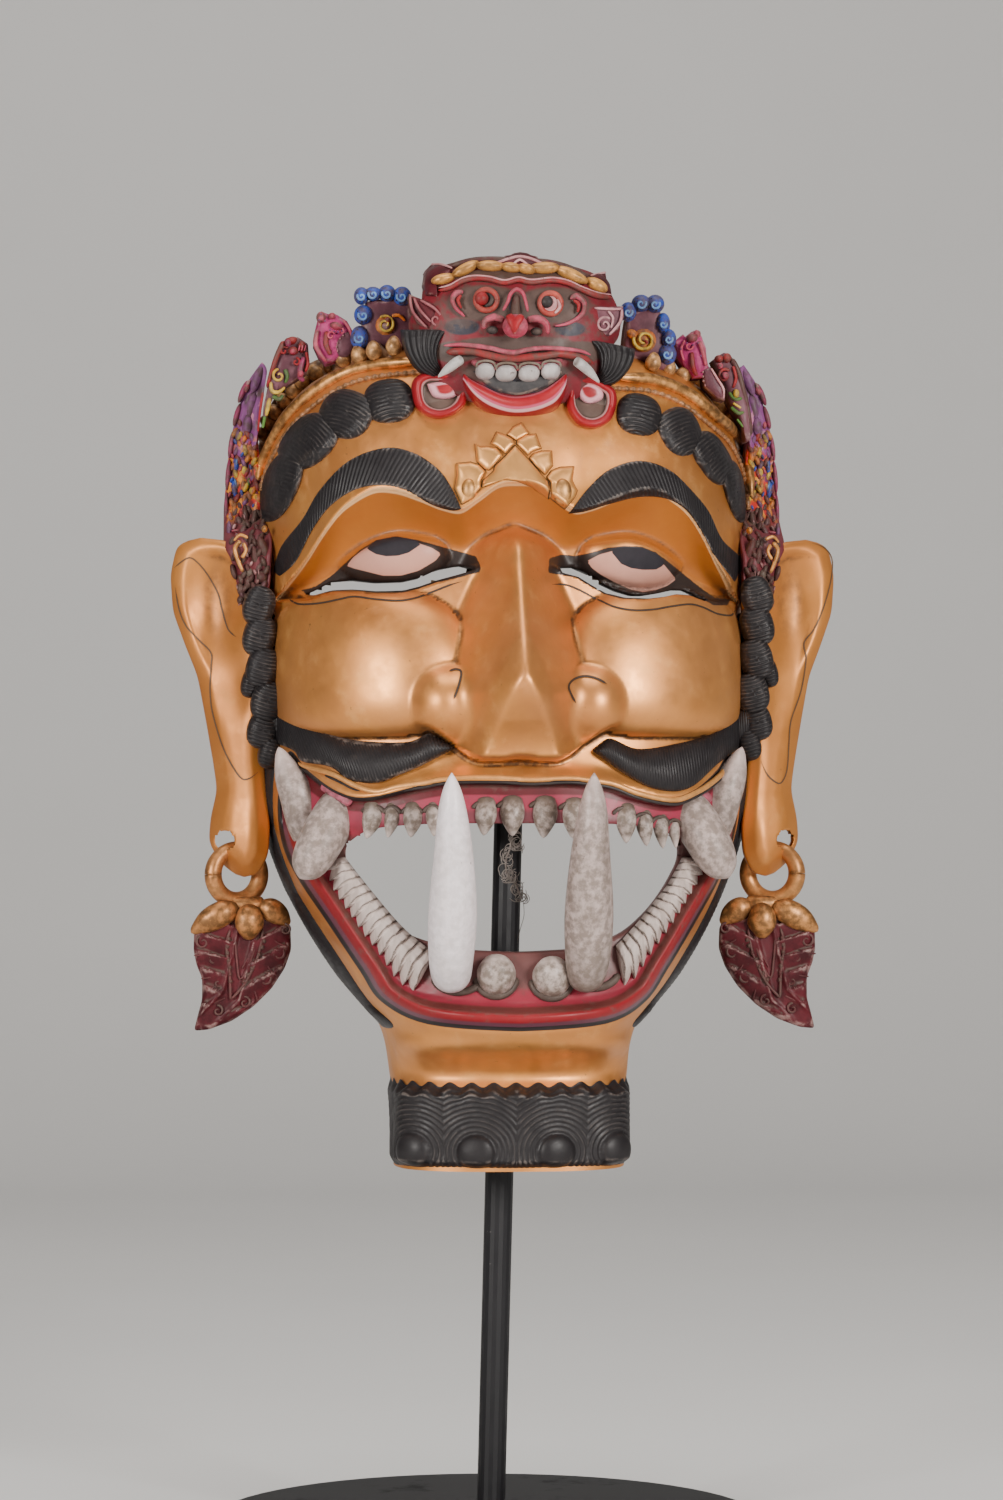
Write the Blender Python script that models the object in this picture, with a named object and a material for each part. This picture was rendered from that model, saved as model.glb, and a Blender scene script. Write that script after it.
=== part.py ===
"""A carved and gilded dance mask of a tusked giant, standing on its rod and round foot.

The mask is laid out in its own millimetres: x to the viewer's right from the mask's middle,
d forward from the plane of its back rim, and h up from the underside of its beard. The part's
frame is in metres, with +Z up, the mask facing -Y and the origin under the middle of the foot.
"""

import math

import bmesh
import bpy
import numpy as np
from mathutils import Matrix, Vector

MM = 0.001

# Stand
FOOT_RADIUS = 90.0
FOOT_THICKNESS = 10.0
FOOT_EDGE = 1.2
ROD_RADIUS = 4.6
ROD_LEAN = 1.45  # degrees, to the viewer's right
ROD_DEPTH = 35.0  # d of the rod's axis
ROD_SEAT = 6.0  # how far the rod goes into the foot
FIT = 0.35  # gap between pieces that touch
MASK_LIFT = 116.0  # beard's underside above the foot
PASSING_HEIGHT = 85.0  # h at which the leaning rod crosses the mask's middle
CRADLE_WIRE = 2.6
CRADLE_SPAN = 30.0
CRADLE_HEIGHT = 209.0
CRADLE_TIP = 67.0  # d of the wire's bent ends
MASK_SHIFT = 6.0  # the mask's middle to the right of the foot's
MASK_BACK = 30.0  # d of the plane over the foot's middle

# Shell of the mask
WALL_SIDE = 7.0
WALL_FRONT = 17.0
DOME_START = 205.0
DOME_INSIDE = 252.0
SHELL_TOP = 268.0
WIDTHS = [(0, 37), (28, 38), (46, 42), (62, 55), (88, 70), (112, 78), (140, 79), (175, 80),
          (205, 81), (228, 79), (245, 71), (255, 59), (262, 42), (SHELL_TOP, 14)]
FRONTS = [(0, 74), (26, 76), (36, 78), (46, 89), (62, 91), (90, 89), (115, 88), (135, 84), (160, 80),
          (190, 77), (212, 80), (232, 80), (246, 74), (257, 64), (SHELL_TOP, 48)]
RIMS = [(0, 44), (30, 40), (50, 28), (75, 14), (105, 4), (130, 0), (240, 0), (SHELL_TOP, 16)]
ROUNDNESS = 2.7

# Face
CREST = [(0, 217.1), (6, 216.4), (12, 212.2), (17.8, 208.5), (23, 209.3), (30.3, 212.1), (38, 214.7),
         (44.4, 215), (50, 212.4), (55.3, 208.3), (60.7, 201.1), (65, 194.2), (69.4, 188.3), (78, 180)]
LID = [(0, 204), (8, 201.5), (14, 197.6), (26, 199), (38, 199.8), (48, 196), (58, 189), (70, 184.5),
       (80, 180)]
SLIT = [(10, 191.5), (20, 188), (28, 185.5), (38, 183), (50, 183.2), (58, 183.2), (66, 181)]
BROW_OUT = 8.0
SOCKET_IN = 8.0
SLIT_HEIGHT = 3.4
SLIT_ENDS = (12.0, 65.0)
EYE_AT = (38.0, 194.0)
EYE_SIZE = (17.5, 10.0, 9.0)
CHEEK_AT = (47.0, 154.5)
CHEEK_SIZE = (34.0, 30.0, 17.5, 15.0)  # half width, height above and below, depth
NOSE_RIDGE = [(131, 104), (157, 121), (163, 117), (175, 106), (190, 94), (200, 84), (205, 70)]
NOSE_TIP_HEIGHT = 157.0
NOSE_FACET = 10.5
NOSE_SLOPE = 1.65
NOSE_FOOT = [(0, 131.5), (14, 131.5), (31, 141)]
WING_AT = (23.0, 147.5)
WING_SIZE = (12.0, 13.0, 16.0)

# Mouth
LIP_LINE = [(0, 123.3), (24.5, 123.1), (46, 118.3), (56, 120), (65, 126.5), (71, 132.5), (74.2, 118),
            (73, 104), (68.2, 92.5), (59, 78.5), (49, 63.5), (42, 53.5), (28, 47.2), (0, 45.3)]
OPENING = [(0, 110), (24, 110), (40, 109), (47, 107.5), (51, 105), (53, 102.5), (53, 98), (51, 93.5),
           (47.5, 88), (42, 81.5), (34.5, 75.5), (27, 72.5), (18, 70.3), (0, 69.4)]
LIP_ROLL = 2.6
GUM_IN = 5.0
CUT_BEHIND = -20.0  # d where cutters through the mask begin
CUT_BEFORE = 140.0  # d where they end

# Relief of the carving
SOLID_SIZE = 1.3  # grain of the carving that joins its forms
SOLID_SHARE = 0.0185  # share of the fine faces that the solid keeps


def smooth(stops, at):
    """The value at a place of the smooth curve through (place, value) stops."""
    places, values = np.array(stops, float).T
    slopes = np.gradient(values, places)
    slopes[0] = slopes[-1] = 0
    at = np.clip(at, places[0], places[-1])
    i = np.clip(np.searchsorted(places, at) - 1, 0, len(places) - 2)
    gap = places[i + 1] - places[i]
    t = (at - places[i]) / gap
    ease = t * t * (3 - 2 * t)
    lean = gap * t * (1 - t) * ((1 - t) * slopes[i] - t * slopes[i + 1])
    return values[i] * (1 - ease) + values[i + 1] * ease + lean


def step(low, high, at):
    """0 below low, 1 above high and a smooth rise between."""
    t = np.clip((at - low) / (high - low), 0, 1)
    return t * t * (3 - 2 * t)


def merge(a, b, blend):
    """The larger of two depths, rounded where they cross."""
    t = np.clip(0.5 + 0.5 * (a - b) / blend, 0, 1)
    return b * (1 - t) + a * t + blend * t * (1 - t)


def dome(u, v, power=2.4):
    """Height of a pillow that is 1 at its middle and 0 at |u| or |v| of 1."""
    return np.clip(1 - np.abs(u) ** power - np.abs(v) ** power, 0, 1) ** (1 / power)


def closed_line(stops, per_stop=6):
    """A closed outline: the smooth curve through the stops of its right half, mirrored to the left."""
    along = np.arange(len(stops))
    fine = np.linspace(0, len(stops) - 1, (len(stops) - 1) * per_stop + 1)
    xs = smooth(list(zip(along, [p[0] for p in stops])), fine)
    hs = smooth(list(zip(along, [p[1] for p in stops])), fine)
    right = np.stack([xs, hs], 1)
    left = right[-2:0:-1] * (-1, 1)
    return np.concatenate([right, left])


def distance(outline, x, h):
    """Distance from points to a closed outline, negative inside it."""
    shape = np.shape(x)
    points = np.stack([np.ravel(x), np.ravel(h)], 1)
    nearest = np.full(len(points), 1e9)
    inside = np.zeros(len(points), bool)
    for a, b in zip(outline, np.roll(outline, -1, 0)):
        edge, reach = b - a, points - a
        t = np.clip(reach @ edge / max(edge @ edge, 1e-9), 0, 1)
        nearest = np.minimum(nearest, np.hypot(*(reach - t[:, None] * edge).T))
        crosses = (a[1] > points[:, 1]) != (b[1] > points[:, 1])
        if a[1] != b[1]:
            inside ^= crosses & (points[:, 0] < a[0] + (points[:, 1] - a[1]) * edge[0] / edge[1])
    return np.where(inside, -nearest, nearest).reshape(shape)


def base_depth(x, h):
    """Depth of the plain rounded shell, before any carving."""
    width, front, rim = smooth(WIDTHS, h), smooth(FRONTS, h), smooth(RIMS, h)
    across = np.clip(np.abs(x) / width, 0, 1)
    return rim + (front - rim) * (1 - across ** ROUNDNESS) ** (1 / ROUNDNESS)


def nose_depth(x, h):
    ax = np.abs(x)
    flat = NOSE_FACET * np.clip((NOSE_TIP_HEIGHT - h) / (NOSE_TIP_HEIGHT - NOSE_FOOT[0][1]), 0, 1)
    ridge = smooth(NOSE_RIDGE, h) - NOSE_SLOPE * (np.hypot(np.maximum(ax - flat, 0), 1.8) - 1.8)
    wing_x, wing_h = WING_AT
    wide, tall, out = WING_SIZE
    swell = dome((ax - wing_x) / wide, (h - wing_h) / tall, 2.0)
    wing = np.where(swell > 0, 84 + out * swell, 0)
    nose = merge(ridge, wing, 8.0)
    under = np.maximum(smooth(NOSE_FOOT, ax) - h, 0)
    return np.where(h < NOSE_RIDGE[-1][0], nose - 9 * under, 0)


def face_depth(x, h):
    """Depth of the carved face: brows, sockets, eyes, cheeks, nose, lips and chin."""
    ax = np.abs(x)
    base = base_depth(x, h)
    crest, lid, slit = smooth(CREST, ax), smooth(LID, ax), smooth(SLIT, ax)
    fall = np.clip((crest - h) / np.maximum(crest - lid, 0.5), 0, 1)
    brow = BROW_OUT * np.exp(-np.maximum(h - crest, 0) / 14)
    brow -= (BROW_OUT + SOCKET_IN) * (1 - (1 - fall) ** 1.5)
    brow += (SOCKET_IN + 0.5) * step(slit - 1.2, slit + 0.6, 2 * slit - h)
    brow *= 1 - step(70, 79, ax)
    depth = base + brow
    eye_x, eye_h = EYE_AT
    wide, tall, out = EYE_SIZE
    eye = dome((ax - eye_x) / wide, (h - eye_h) / tall, 2.0)
    depth += out * eye * (1 - step(lid - 1, lid + 3, h)) * step(slit, slit + 3, h)
    cheek_x, cheek_h = CHEEK_AT
    wide, above, below, out = CHEEK_SIZE
    tall = np.where(h > cheek_h, above, below)
    cheek = base - 2 + (out + 2) * dome((ax - cheek_x) / wide, (h - cheek_h) / tall)
    depth = merge(depth, np.where(h < slit - 0.5, cheek, 0), 2.5)
    depth = merge(depth, nose_depth(x, h), 2.0)
    depth += 5 * np.exp(-((h - 40) / 4.0) ** 2) * (1 - step(34, 46, ax))
    depth -= 3 * np.exp(-((h - 30) / 4.0) ** 2)
    inward = -distance(closed_line(LIP_LINE), x, h)
    lower = 1 - step(100, 112, h)
    depth += 2.0 * np.exp(-(np.minimum(inward, 0) / 3) ** 2) * step(-9, -3, inward)
    depth += LIP_ROLL * lower * np.sin(np.pi * np.clip((inward - 1) / 6, 0, 1))
    depth -= GUM_IN * (1 - lower) * step(0, 2, inward)
    depth -= GUM_IN * lower * step(5, 9, inward) + 0.35 * lower * np.maximum(inward - 6, 0)
    return depth


def loft(rings):
    """A closed skin over rings that have the same number of points, in (x, d, h)."""
    points = [p for ring in rings for p in ring]
    n = len(rings[0])
    faces = [(i * n + j, i * n + (j + 1) % n, (i + 1) * n + (j + 1) % n, (i + 1) * n + j)
             for i in range(len(rings) - 1) for j in range(n)]
    faces.append(tuple(range(n))[::-1])
    faces.append(tuple(range(len(points) - n, len(points))))
    return points, faces


def tube(path, radii, sides=10, flat=1.0):
    """A tapering round bar along a path; flat scales its depth against its width."""
    path = np.array(path, float)
    along = np.gradient(path, axis=0)
    along /= np.linalg.norm(along, axis=1)[:, None]
    side = np.cross(along[0], (0, 1, 0) if abs(along[0][1]) < 0.9 else (1, 0, 0))
    rings = []
    for at, way, radius in zip(path, along, radii):
        side = side - way * (side @ way)
        side /= np.linalg.norm(side)
        front = np.cross(way, side)
        rings.append([at + radius * (math.cos(a) * side + flat * math.sin(a) * front)
                      for a in np.linspace(0, math.tau, sides, endpoint=False)])
    return loft(rings)


def bent(stops, count):
    """Points and radii read from the smooth curve through (x, d, h, radius) stops."""
    places = np.arange(len(stops))
    fine = np.linspace(0, len(stops) - 1, count)
    columns = [smooth(list(zip(places, [s[k] for s in stops])), fine) for k in range(4)]
    return np.stack(columns[:3], 1), columns[3]


def ball(at, size, tilt=0.0, segments=10):
    """An ellipsoid with radii (x, d, h), tilted in the front view by degrees."""
    turned = Matrix.Rotation(math.radians(tilt), 3, "Y")
    wide, deep, tall = size
    rings = []
    for up in np.linspace(-math.pi / 2 + 0.15, math.pi / 2 - 0.15, segments // 2 + 2):
        flat = math.cos(up)
        ring = [Vector((wide * flat * math.cos(a), deep * flat * math.sin(a), tall * math.sin(up)))
                for a in np.linspace(0, math.tau, segments, endpoint=False)]
        rings.append([np.array(at) + np.array(turned @ p) for p in ring])
    return loft(rings)


def plate(outline, back, front):
    """A plate with an (x, h) outline; back and front give its depths at a point."""
    outline = [np.array(p, float) for p in outline]
    rings = [[(x, back(x, h), h) for x, h in outline], [(x, front(x, h), h) for x, h in outline]]
    return loft(rings)


def through(outline):
    """A cutter that runs right through the mask."""
    return plate(outline, lambda x, h: CUT_BEHIND, lambda x, h: CUT_BEFORE)


def mirrored(body):
    points, faces = body
    return [(-p[0], p[1], p[2]) for p in points], [tuple(f)[::-1] for f in faces]


def both(body):
    return [body, mirrored(body)]


def shell(columns=84, rows=110):
    """The carved front, the hollow behind it, and the flat rim between."""
    angles = np.linspace(-math.pi / 2, math.pi / 2, columns)
    across = np.sign(np.sin(angles)) * np.abs(np.sin(angles)) ** (2 / ROUNDNESS)
    forward = np.abs(np.cos(angles)) ** (2 / ROUNDNESS)
    rings = []
    for h in np.linspace(0, SHELL_TOP, rows):
        width, front, rim = smooth(WIDTHS, h), smooth(FRONTS, h), smooth(RIMS, h)
        x = width * across
        plain = rim + (front - rim) * forward
        keep = 1 - step(0.93, 1.0, np.abs(across))
        outer = plain + (face_depth(x, h + 0 * x) - base_depth(x, h + 0 * x)) * keep
        rise = np.clip((h - DOME_START) / (DOME_INSIDE - DOME_START), 0, 1)
        hollow = math.sqrt(1 - rise**2)
        inner_x = np.maximum(width - WALL_SIDE, 0.6 * width) * across
        inner = rim + np.maximum(front - WALL_FRONT - rim, 4) * forward * hollow
        rings.append([(a, b, h) for a, b in zip(x, outer)]
                     + [(a, min(b, c - 4) if f > 0.4 else b, h)
                        for a, b, c, f in zip(inner_x[::-1], inner[::-1], outer[::-1], forward)])
    return loft(rings)


def ear():
    """A long ear with a pierced lobe: a bent plate, scooped out in front."""
    outer = [(-100, 202), (-106.5, 199), (-109, 190), (-107.5, 178), (-103.5, 167), (-99.5, 157),
             (-96.5, 142), (-94, 128), (-93.5, 120), (-96, 111), (-96.2, 103), (-92, 96), (-85, 91),
             (-79, 92), (-75.5, 99), (-74, 108), (-74, 130), (-74, 160), (-74, 185), (-82, 196.5), (-91, 201)]
    middle, level = np.mean(outer, axis=0)

    def ring(share, lift):
        return [(middle + share * (x - middle), 20 + 0.45 * (x + 110) + lift, level + share * (h - level))
                for x, h in outer]

    rings = [ring(0.25, 0.8), ring(0.62, 1.0), ring(0.8, 4.0), ring(0.93, 5.6), ring(1.0, 3.5),
             ring(1.0, -3.5), ring(0.5, -5.0)]
    points, faces = loft(rings)
    return points, [f[::-1] for f in faces]


# Places and sizes of the carved ornament, in the mask's millimetres
UPPER_TEETH = [-46.4, -40.5, -33.6, -27.5, -10.3, -2.4, 7.0, 15.0, 31.5, 38.5, 45, 50.5]
UPPER_TOOTH = (3.6, 3.6, 6.2)
UPPER_TOOTH_HEIGHT = 110.5
INCISOR_AT = (8.4, 62.8)
INCISOR = (5.2, 4.0, 6.0)
SIDE_TEETH = [(54.5, 94), (48.8, 84.5), (41.8, 75.5), (33.2, 68)]
SIDE_TOOTH = (5.2, 4.5, 6.4)
CURLS = [(39.6, 241.5, 6.8, 0), (53.0, 236.6, 6.8, 0), (64.3, 228.5, 7.0, 20), (72.8, 216.4, 7.4, 12)]
SIDE_CURLS = [(78.5, 175, 5.2), (78.5, 165, 5.4), (77, 154, 5.6), (77.5, 143, 5.2)]
SIDE_CURL_DEPTH = 41.0
BAND = [(30, 254.5), (37, 254.2), (50.3, 252), (61.8, 245), (70.7, 237), (77.0, 226), (78.5, 213)]
BAND_RADIUS = 2.2
BEAD_COUNT = 11
BEAD_RADIUS = 2.1
BEAD_OFFSET = 4.2
BROW_TOP = [(22, 211), (26, 219), (33, 226), (41, 228), (54, 223.5), (63, 214.5), (69, 205), (76, 193)]
BROW_LOCKS = 9
MOUSTACHE = [[(22, 135.5), (40, 132), (56, 133.5), (66, 139), (73, 148)],
             [(23, 131.5), (40, 127.5), (55, 128.5), (64, 133), (71, 142)],
             [(27, 129), (41, 124.5), (51, 123.8), (60, 127), (68, 134)]]
JAW = [(75.5, 122), (75, 108), (70.5, 93), (64, 79), (56.5, 65.5), (48, 53.5), (42.5, 43)]
BEARD_LOCKS = [4.5, 12.5, 20.5, 28, 34]
BEARD_BALLS = [(12.3, 6.2, 5.6), (28.8, 6.6, 5.6)]
SCALES = [(0, 230), (4.6, 224.2), (0, 219.5), (9.2, 217.8), (4.8, 213), (14.2, 211.6), (0, 208)]
SCALE = (4.2, 2.4, 5.4)
EAR_HOLE = (91.0, 103.8)
EAR_HOLE_RADIUS = 3.2

# Inserted teeth: (x, d, h, radius) from root to tip, for the viewer's right
LONG_FANG = [(20.5, 85, 59, 5.4), (21.3, 92, 67, 6.9), (21.2, 99, 82, 7.6), (21.2, 104, 100, 6.2),
             (21.8, 107, 116, 4.1), (22.0, 108, 126, 1.0)]
LOWER_TUSK = [(60.5, 49.5, 99, 4.6), (64.6, 55.5, 108, 6.2), (67.8, 58, 118, 6.0), (71.3, 58, 126, 4.4),
              (74.2, 57, 134, 0.9)]
UPPER_TUSK = [(53.5, 62, 117.5, 6.2), (56.5, 68, 112.5, 7.0), (60, 72, 106.5, 7.2), (63.5, 74, 100, 6.6),
              (66, 74, 95.5, 5.0), (67.8, 73.5, 92.5, 1.6)]

# Earrings
RING_AT = (87.2, 31.5, 92.8)
RING_RADIUS = 8.3
RING_STOCK = 2.5
RING_YAW = 24.0
LEAF = [(71.5, 75), (72, 67), (75, 58), (80.5, 50), (87.5, 45), (96, 41), (97, 50), (98, 58), (99.6, 66),
        (100.2, 75), (93, 80), (86, 82), (78, 80)]
LEAF_BACK = 29.5
LEAF_FRONT = 35.0


def on_face(x, h, lift):
    """Depth of the plain shell at a point, plus a lift."""
    return float(base_depth(np.array(abs(x), float), np.array(h, float))) + lift


def lock(line, radius, lift, count=9, thin=0.35, flat=1.0):
    """A lock of hair laid on the face along an (x, h) line, thinning toward both ends."""
    stops = [(x, on_face(x, h, lift), h, 0) for x, h in line]
    path, _ = bent(stops, count)
    swell = np.sin(np.linspace(0.12, 0.9, count) * math.pi)
    return tube(path, radius * (thin + (1 - thin) * swell), 8, flat)


def spiral(at, radius, stock, turns=1.6, sides=6, count=16, hand=1):
    """A coil lying in the front view, rising toward its middle."""
    x, d, h = at
    path = []
    for t in np.linspace(0, 1, count):
        reach, turn = radius * (1 - 0.85 * t), hand * math.tau * turns * t
        path.append((x + reach * math.cos(turn), d + 2.2 * t, h + reach * math.sin(turn)))
    return tube(path, np.linspace(stock, 0.75 * stock, count), sides)


def kala():
    """The fanged head at the middle of the crown."""
    bodies = [ball((0, 62, 266), (27, 22, 21), segments=20)]
    bodies.append(ball((0, 70, 285), (8.5, 6, 6)))
    bodies.append(tube([(-27, 70, 282), (-16, 77, 285.5), (0, 80, 287.5), (16, 77, 285.5), (27, 70, 282)],
                       [1.9] * 5, 8))
    bodies.append(tube([(-26, 74, 276), (-15, 83, 281), (0, 88, 279.5), (15, 83, 281), (26, 74, 276)],
                       [2, 2.8, 2.4, 2.8, 2], 8))
    bodies.append(ball((0, 86, 267), (5, 9, 9.5)))
    bodies.append(ball((0, 94, 262.5), (4.4, 4.6, 3.8)))
    bodies.append(tube([(-18, 78, 255.5), (-9, 88, 258.8), (0, 91, 257), (9, 88, 258.8), (18, 78, 255.5)],
                       [2, 2.5, 2.5, 2.5, 2], 8))
    bodies.append(tube([(-16, 76, 249), (-9, 84, 241.5), (0, 88, 238.5), (9, 84, 241.5), (16, 76, 249)],
                       [2.2, 3.2, 3.6, 3.2, 2.2], 8))
    halves = [ball((10, 83, 272), (4.6, 4.6, 4.6)), ball((8, 89, 264.6), (4, 4.4, 3.4)),
              ball((3.4, 87, 251.2), (2.7, 3, 3.2)), ball((9.8, 85, 251.4), (2.6, 3, 3.2)),
              tube([(16, 82, 256), (20.5, 87, 252.5), (25.3, 88, 247)], [2.6, 2.2, 0.8], 8),
              ball((24, 79, 242.7), (8.0, 4.5, 8.0), segments=12), spiral((24, 82, 242.7), 6.0, 1.9),
              ball((29, 74, 269.5), (4.2, 4.5, 6.2)), ball((23, 77, 262), (5, 5, 7))]
    for low, far in ((262, 264), (257, 255.5), (252, 248)):
        whisker = [(19, 79, low), (28, 78, low + 0.6 * (far - low)), (36.5, 70, far)]
        halves.append(tube(whisker, [2.6, 2.3, 0.9], 8))
    return bodies + [b for half in halves for b in both(half)]


def crown():
    """Band, beads, leaves and side panels of the diadem."""
    halves = []
    path = [(x, on_face(x, min(h, 250), 3.0) - 0.5 * max(h - 250, 0), h) for x, h in BAND]
    line, _ = bent([(*p, 0) for p in path], 15)
    halves.append(tube(line, [BAND_RADIUS] * 15, 8))
    halves.append(tube(line + (0.9, 1.0, -3.4) * np.ones((15, 1)), [1.5] * 15, 6))
    outward = np.cross(np.gradient(line, axis=0), (0, 1, 0))
    outward /= -np.linalg.norm(outward, axis=1)[:, None]
    for share in np.linspace(0.12, 0.86, BEAD_COUNT):
        i = share * 14
        at, off = line[int(i)] * (1 - i % 1) + line[int(i) + 1] * (i % 1), outward[int(i)]
        halves.append(ball(at + BEAD_OFFSET * off - (0, 2, 0), (BEAD_RADIUS, 2.4, BEAD_RADIUS), segments=8))
    halves += [ball((42, 45, 264), (11, 9, 13)), ball((42, 53, 268), (5.2, 4.6, 5.2)),
               ball((57, 42, 256), (11, 9, 12)), ball((69, 36, 247), (9, 9, 13)),
               spiral((35.5, 51, 270), 5, 2.0, 1.2), spiral((60, 50, 257.5), 4.5, 1.8, 1.2),
               spiral((71, 44, 246), 4.4, 1.8, 1.2),
               tube([(47, 50, 266), (49, 53, 275), (42, 54, 281.5), (37, 53, 277)], [5, 4, 3.2, 1.2], 8),
               tube([(54, 48, 258), (60, 51, 265), (60.5, 50, 271), (55.5, 49, 272)], [5.5, 4.5, 3, 1], 8),
               tube([(66, 42, 249), (72, 45, 256), (74.5, 44, 262), (71, 43, 264.5)], [5, 4.2, 2.8, 1], 8),
               tube([(76, 34, 244), (80, 34, 251), (83, 32, 256.5)], [5, 4, 1.2], 8)]
    panel = [(74, 178), (80, 176.5), (84.5, 183), (87, 189), (86.5, 196), (89.5, 202), (88, 209), (90, 216),
             (88, 223), (90, 230), (87.5, 237), (88, 244), (84.5, 249), (83, 257), (77, 258), (74, 240),
             (74, 210)]
    halves.append(plate(panel, lambda x, h: 6, lambda x, h: 27 - 0.5 * (x - 74)))
    for h in np.linspace(184, 246, 8):
        halves.append(tube([(76, 27, h - 3), (81, 26, h), (88, 19, h + 3)], [2.6, 2.6, 1.2], 6))
    return [b for half in halves for b in both(half)]


def hair():
    """Curls, brows, moustache, jaw locks and beard."""
    halves = []
    for x, h, size, tilt in CURLS:
        d = on_face(x, h, 1.5)
        halves.append(ball((x, d, h), (size * (1 - 0.014 * tilt), 5.2, size), -tilt, 12))
        halves.append(spiral((x, d + 3.4, h), 0.62 * size, 1.5, 1.1, 6, 12))
    for x, h, size in SIDE_CURLS:
        halves.append(ball((x, SIDE_CURL_DEPTH, h), (size, 6, size), segments=10))
    for share in np.linspace(0.06, 0.94, BROW_LOCKS):
        x = 24 + share * 50
        foot, top = float(smooth(CREST, x)), float(smooth(BROW_TOP, x + 3))
        hair_line = [(x, on_face(x, foot, 7.5), foot + 1), (x + 3, on_face(x + 3, top, 2), top)]
        halves.append(tube(hair_line, [2.3, 1.7], 6))
    for line in MOUSTACHE:
        halves.append(lock(line, 4.4, 4.0))
    for shift in (0.0, 3.0):
        line = [(x - shift, h + 0.3 * shift) for x, h in JAW]
        halves.append(lock(line, 2.4, 1.0, 13, 0.8))
    for x in BEARD_LOCKS:
        fall = [(0.94 * x, 73, 27.5), (x, 78, 20), (1.02 * x, 79, 11), (0.98 * x, 75, 4.5)]
        halves.append(tube(fall, [2.8, 5.2, 5.4, 3.8], 8))
    for x, h, size in BEARD_BALLS:
        halves.append(ball((x, 80, h), (size, size, size), segments=12))
    return [b for half in halves for b in both(half)]


def small_teeth():
    """Teeth carved in one with the gums, and the scaled jewel above the nose."""
    bodies = []
    for x in UPPER_TEETH:
        bodies.append(ball((x, on_face(x, 110, -2.5), UPPER_TOOTH_HEIGHT), UPPER_TOOTH, segments=8))
    halves = [ball((INCISOR_AT[0], 87, INCISOR_AT[1]), INCISOR, segments=10)]
    for x, h in SIDE_TEETH:
        halves.append(ball((x, on_face(x, h, -3.5), h), SIDE_TOOTH, -35, 8))
    for x, h in SCALES:
        halves.append(ball((x, on_face(x, h, 2.6), h), SCALE, segments=8))
    return bodies + [b for half in halves for b in both(half)]


def placed(point):
    """A point of the mask in the part's frame, in metres."""
    x, d, h = point
    return ((x + MASK_SHIFT) * MM, (MASK_BACK - d) * MM, (FOOT_THICKNESS + MASK_LIFT + h) * MM)


def build(name, bodies, material=None, cutter=False):
    """One object from closed bodies; each body's faces are turned outward."""
    mesh_parts = bmesh.new()
    for points, faces in bodies:
        made = [mesh_parts.verts.new(placed(p)) for p in points]
        for face in faces:
            mesh_parts.faces.new([made[i] for i in face])
    bmesh.ops.recalc_face_normals(mesh_parts, faces=mesh_parts.faces)
    bmesh.ops.triangulate(mesh_parts, faces=[f for f in mesh_parts.faces if len(f.verts) > 4])
    mesh = bpy.data.meshes.new(name)
    mesh_parts.to_mesh(mesh)
    mesh_parts.free()
    made = bpy.data.objects.new(name, mesh)
    bpy.context.scene.collection.objects.link(made)
    if material:
        mesh.materials.append(material)
    if cutter:
        made.hide_render = True
        made.display_type = "WIRE"
    return made


def carve(target, cutter, operation="DIFFERENCE"):
    cut = target.modifiers.new(cutter.name, "BOOLEAN")
    cut.operation = operation
    cut.solver = "EXACT"
    cut.object = cutter


def settle(target):
    """Replace an object's mesh by what its modifiers make of it."""
    graph = bpy.context.evaluated_depsgraph_get()
    mesh = bpy.data.meshes.new_from_object(target.evaluated_get(graph))
    target.modifiers.clear()
    target.data = mesh


def largest_piece(target):
    """Drop loose crumbs, so that the carving is one closed body."""
    crumbs = bmesh.new()
    crumbs.from_mesh(target.data)
    left, pieces = set(crumbs.verts), []
    while left:
        piece, edge_of_piece = set(), [left.pop()]
        while edge_of_piece:
            vert = edge_of_piece.pop()
            piece.add(vert)
            for edge in vert.link_edges:
                other = edge.other_vert(vert)
                if other in left:
                    left.discard(other)
                    edge_of_piece.append(other)
        pieces.append(piece)
    keep = max(pieces, key=len)
    bmesh.ops.delete(crumbs, geom=[v for v in crumbs.verts if v not in keep], context="VERTS")
    crumbs.to_mesh(target.data)
    crumbs.free()


def paint(name, colour, metallic, roughness):
    made = bpy.data.materials.new(name)
    made.use_nodes = True
    shader = made.node_tree.nodes["Principled BSDF"]
    shader.inputs["Base Color"].default_value = (*colour, 1)
    shader.inputs["Metallic"].default_value = metallic
    shader.inputs["Roughness"].default_value = roughness
    made.diffuse_color = (*colour, 1)
    return made


def inserted(name, stops, material, side, count=8, sides=9):
    """A tooth let into the mask: the piece itself, and the cutter of its socket."""
    path, radii = bent(stops, count)
    tooth, room = tube(path, radii, sides), tube(path, radii + FIT, sides)
    if side < 0:
        tooth, room = mirrored(tooth), mirrored(room)
    return build(name, [tooth], material), build(name + "_socket", [room], None, True)


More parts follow.
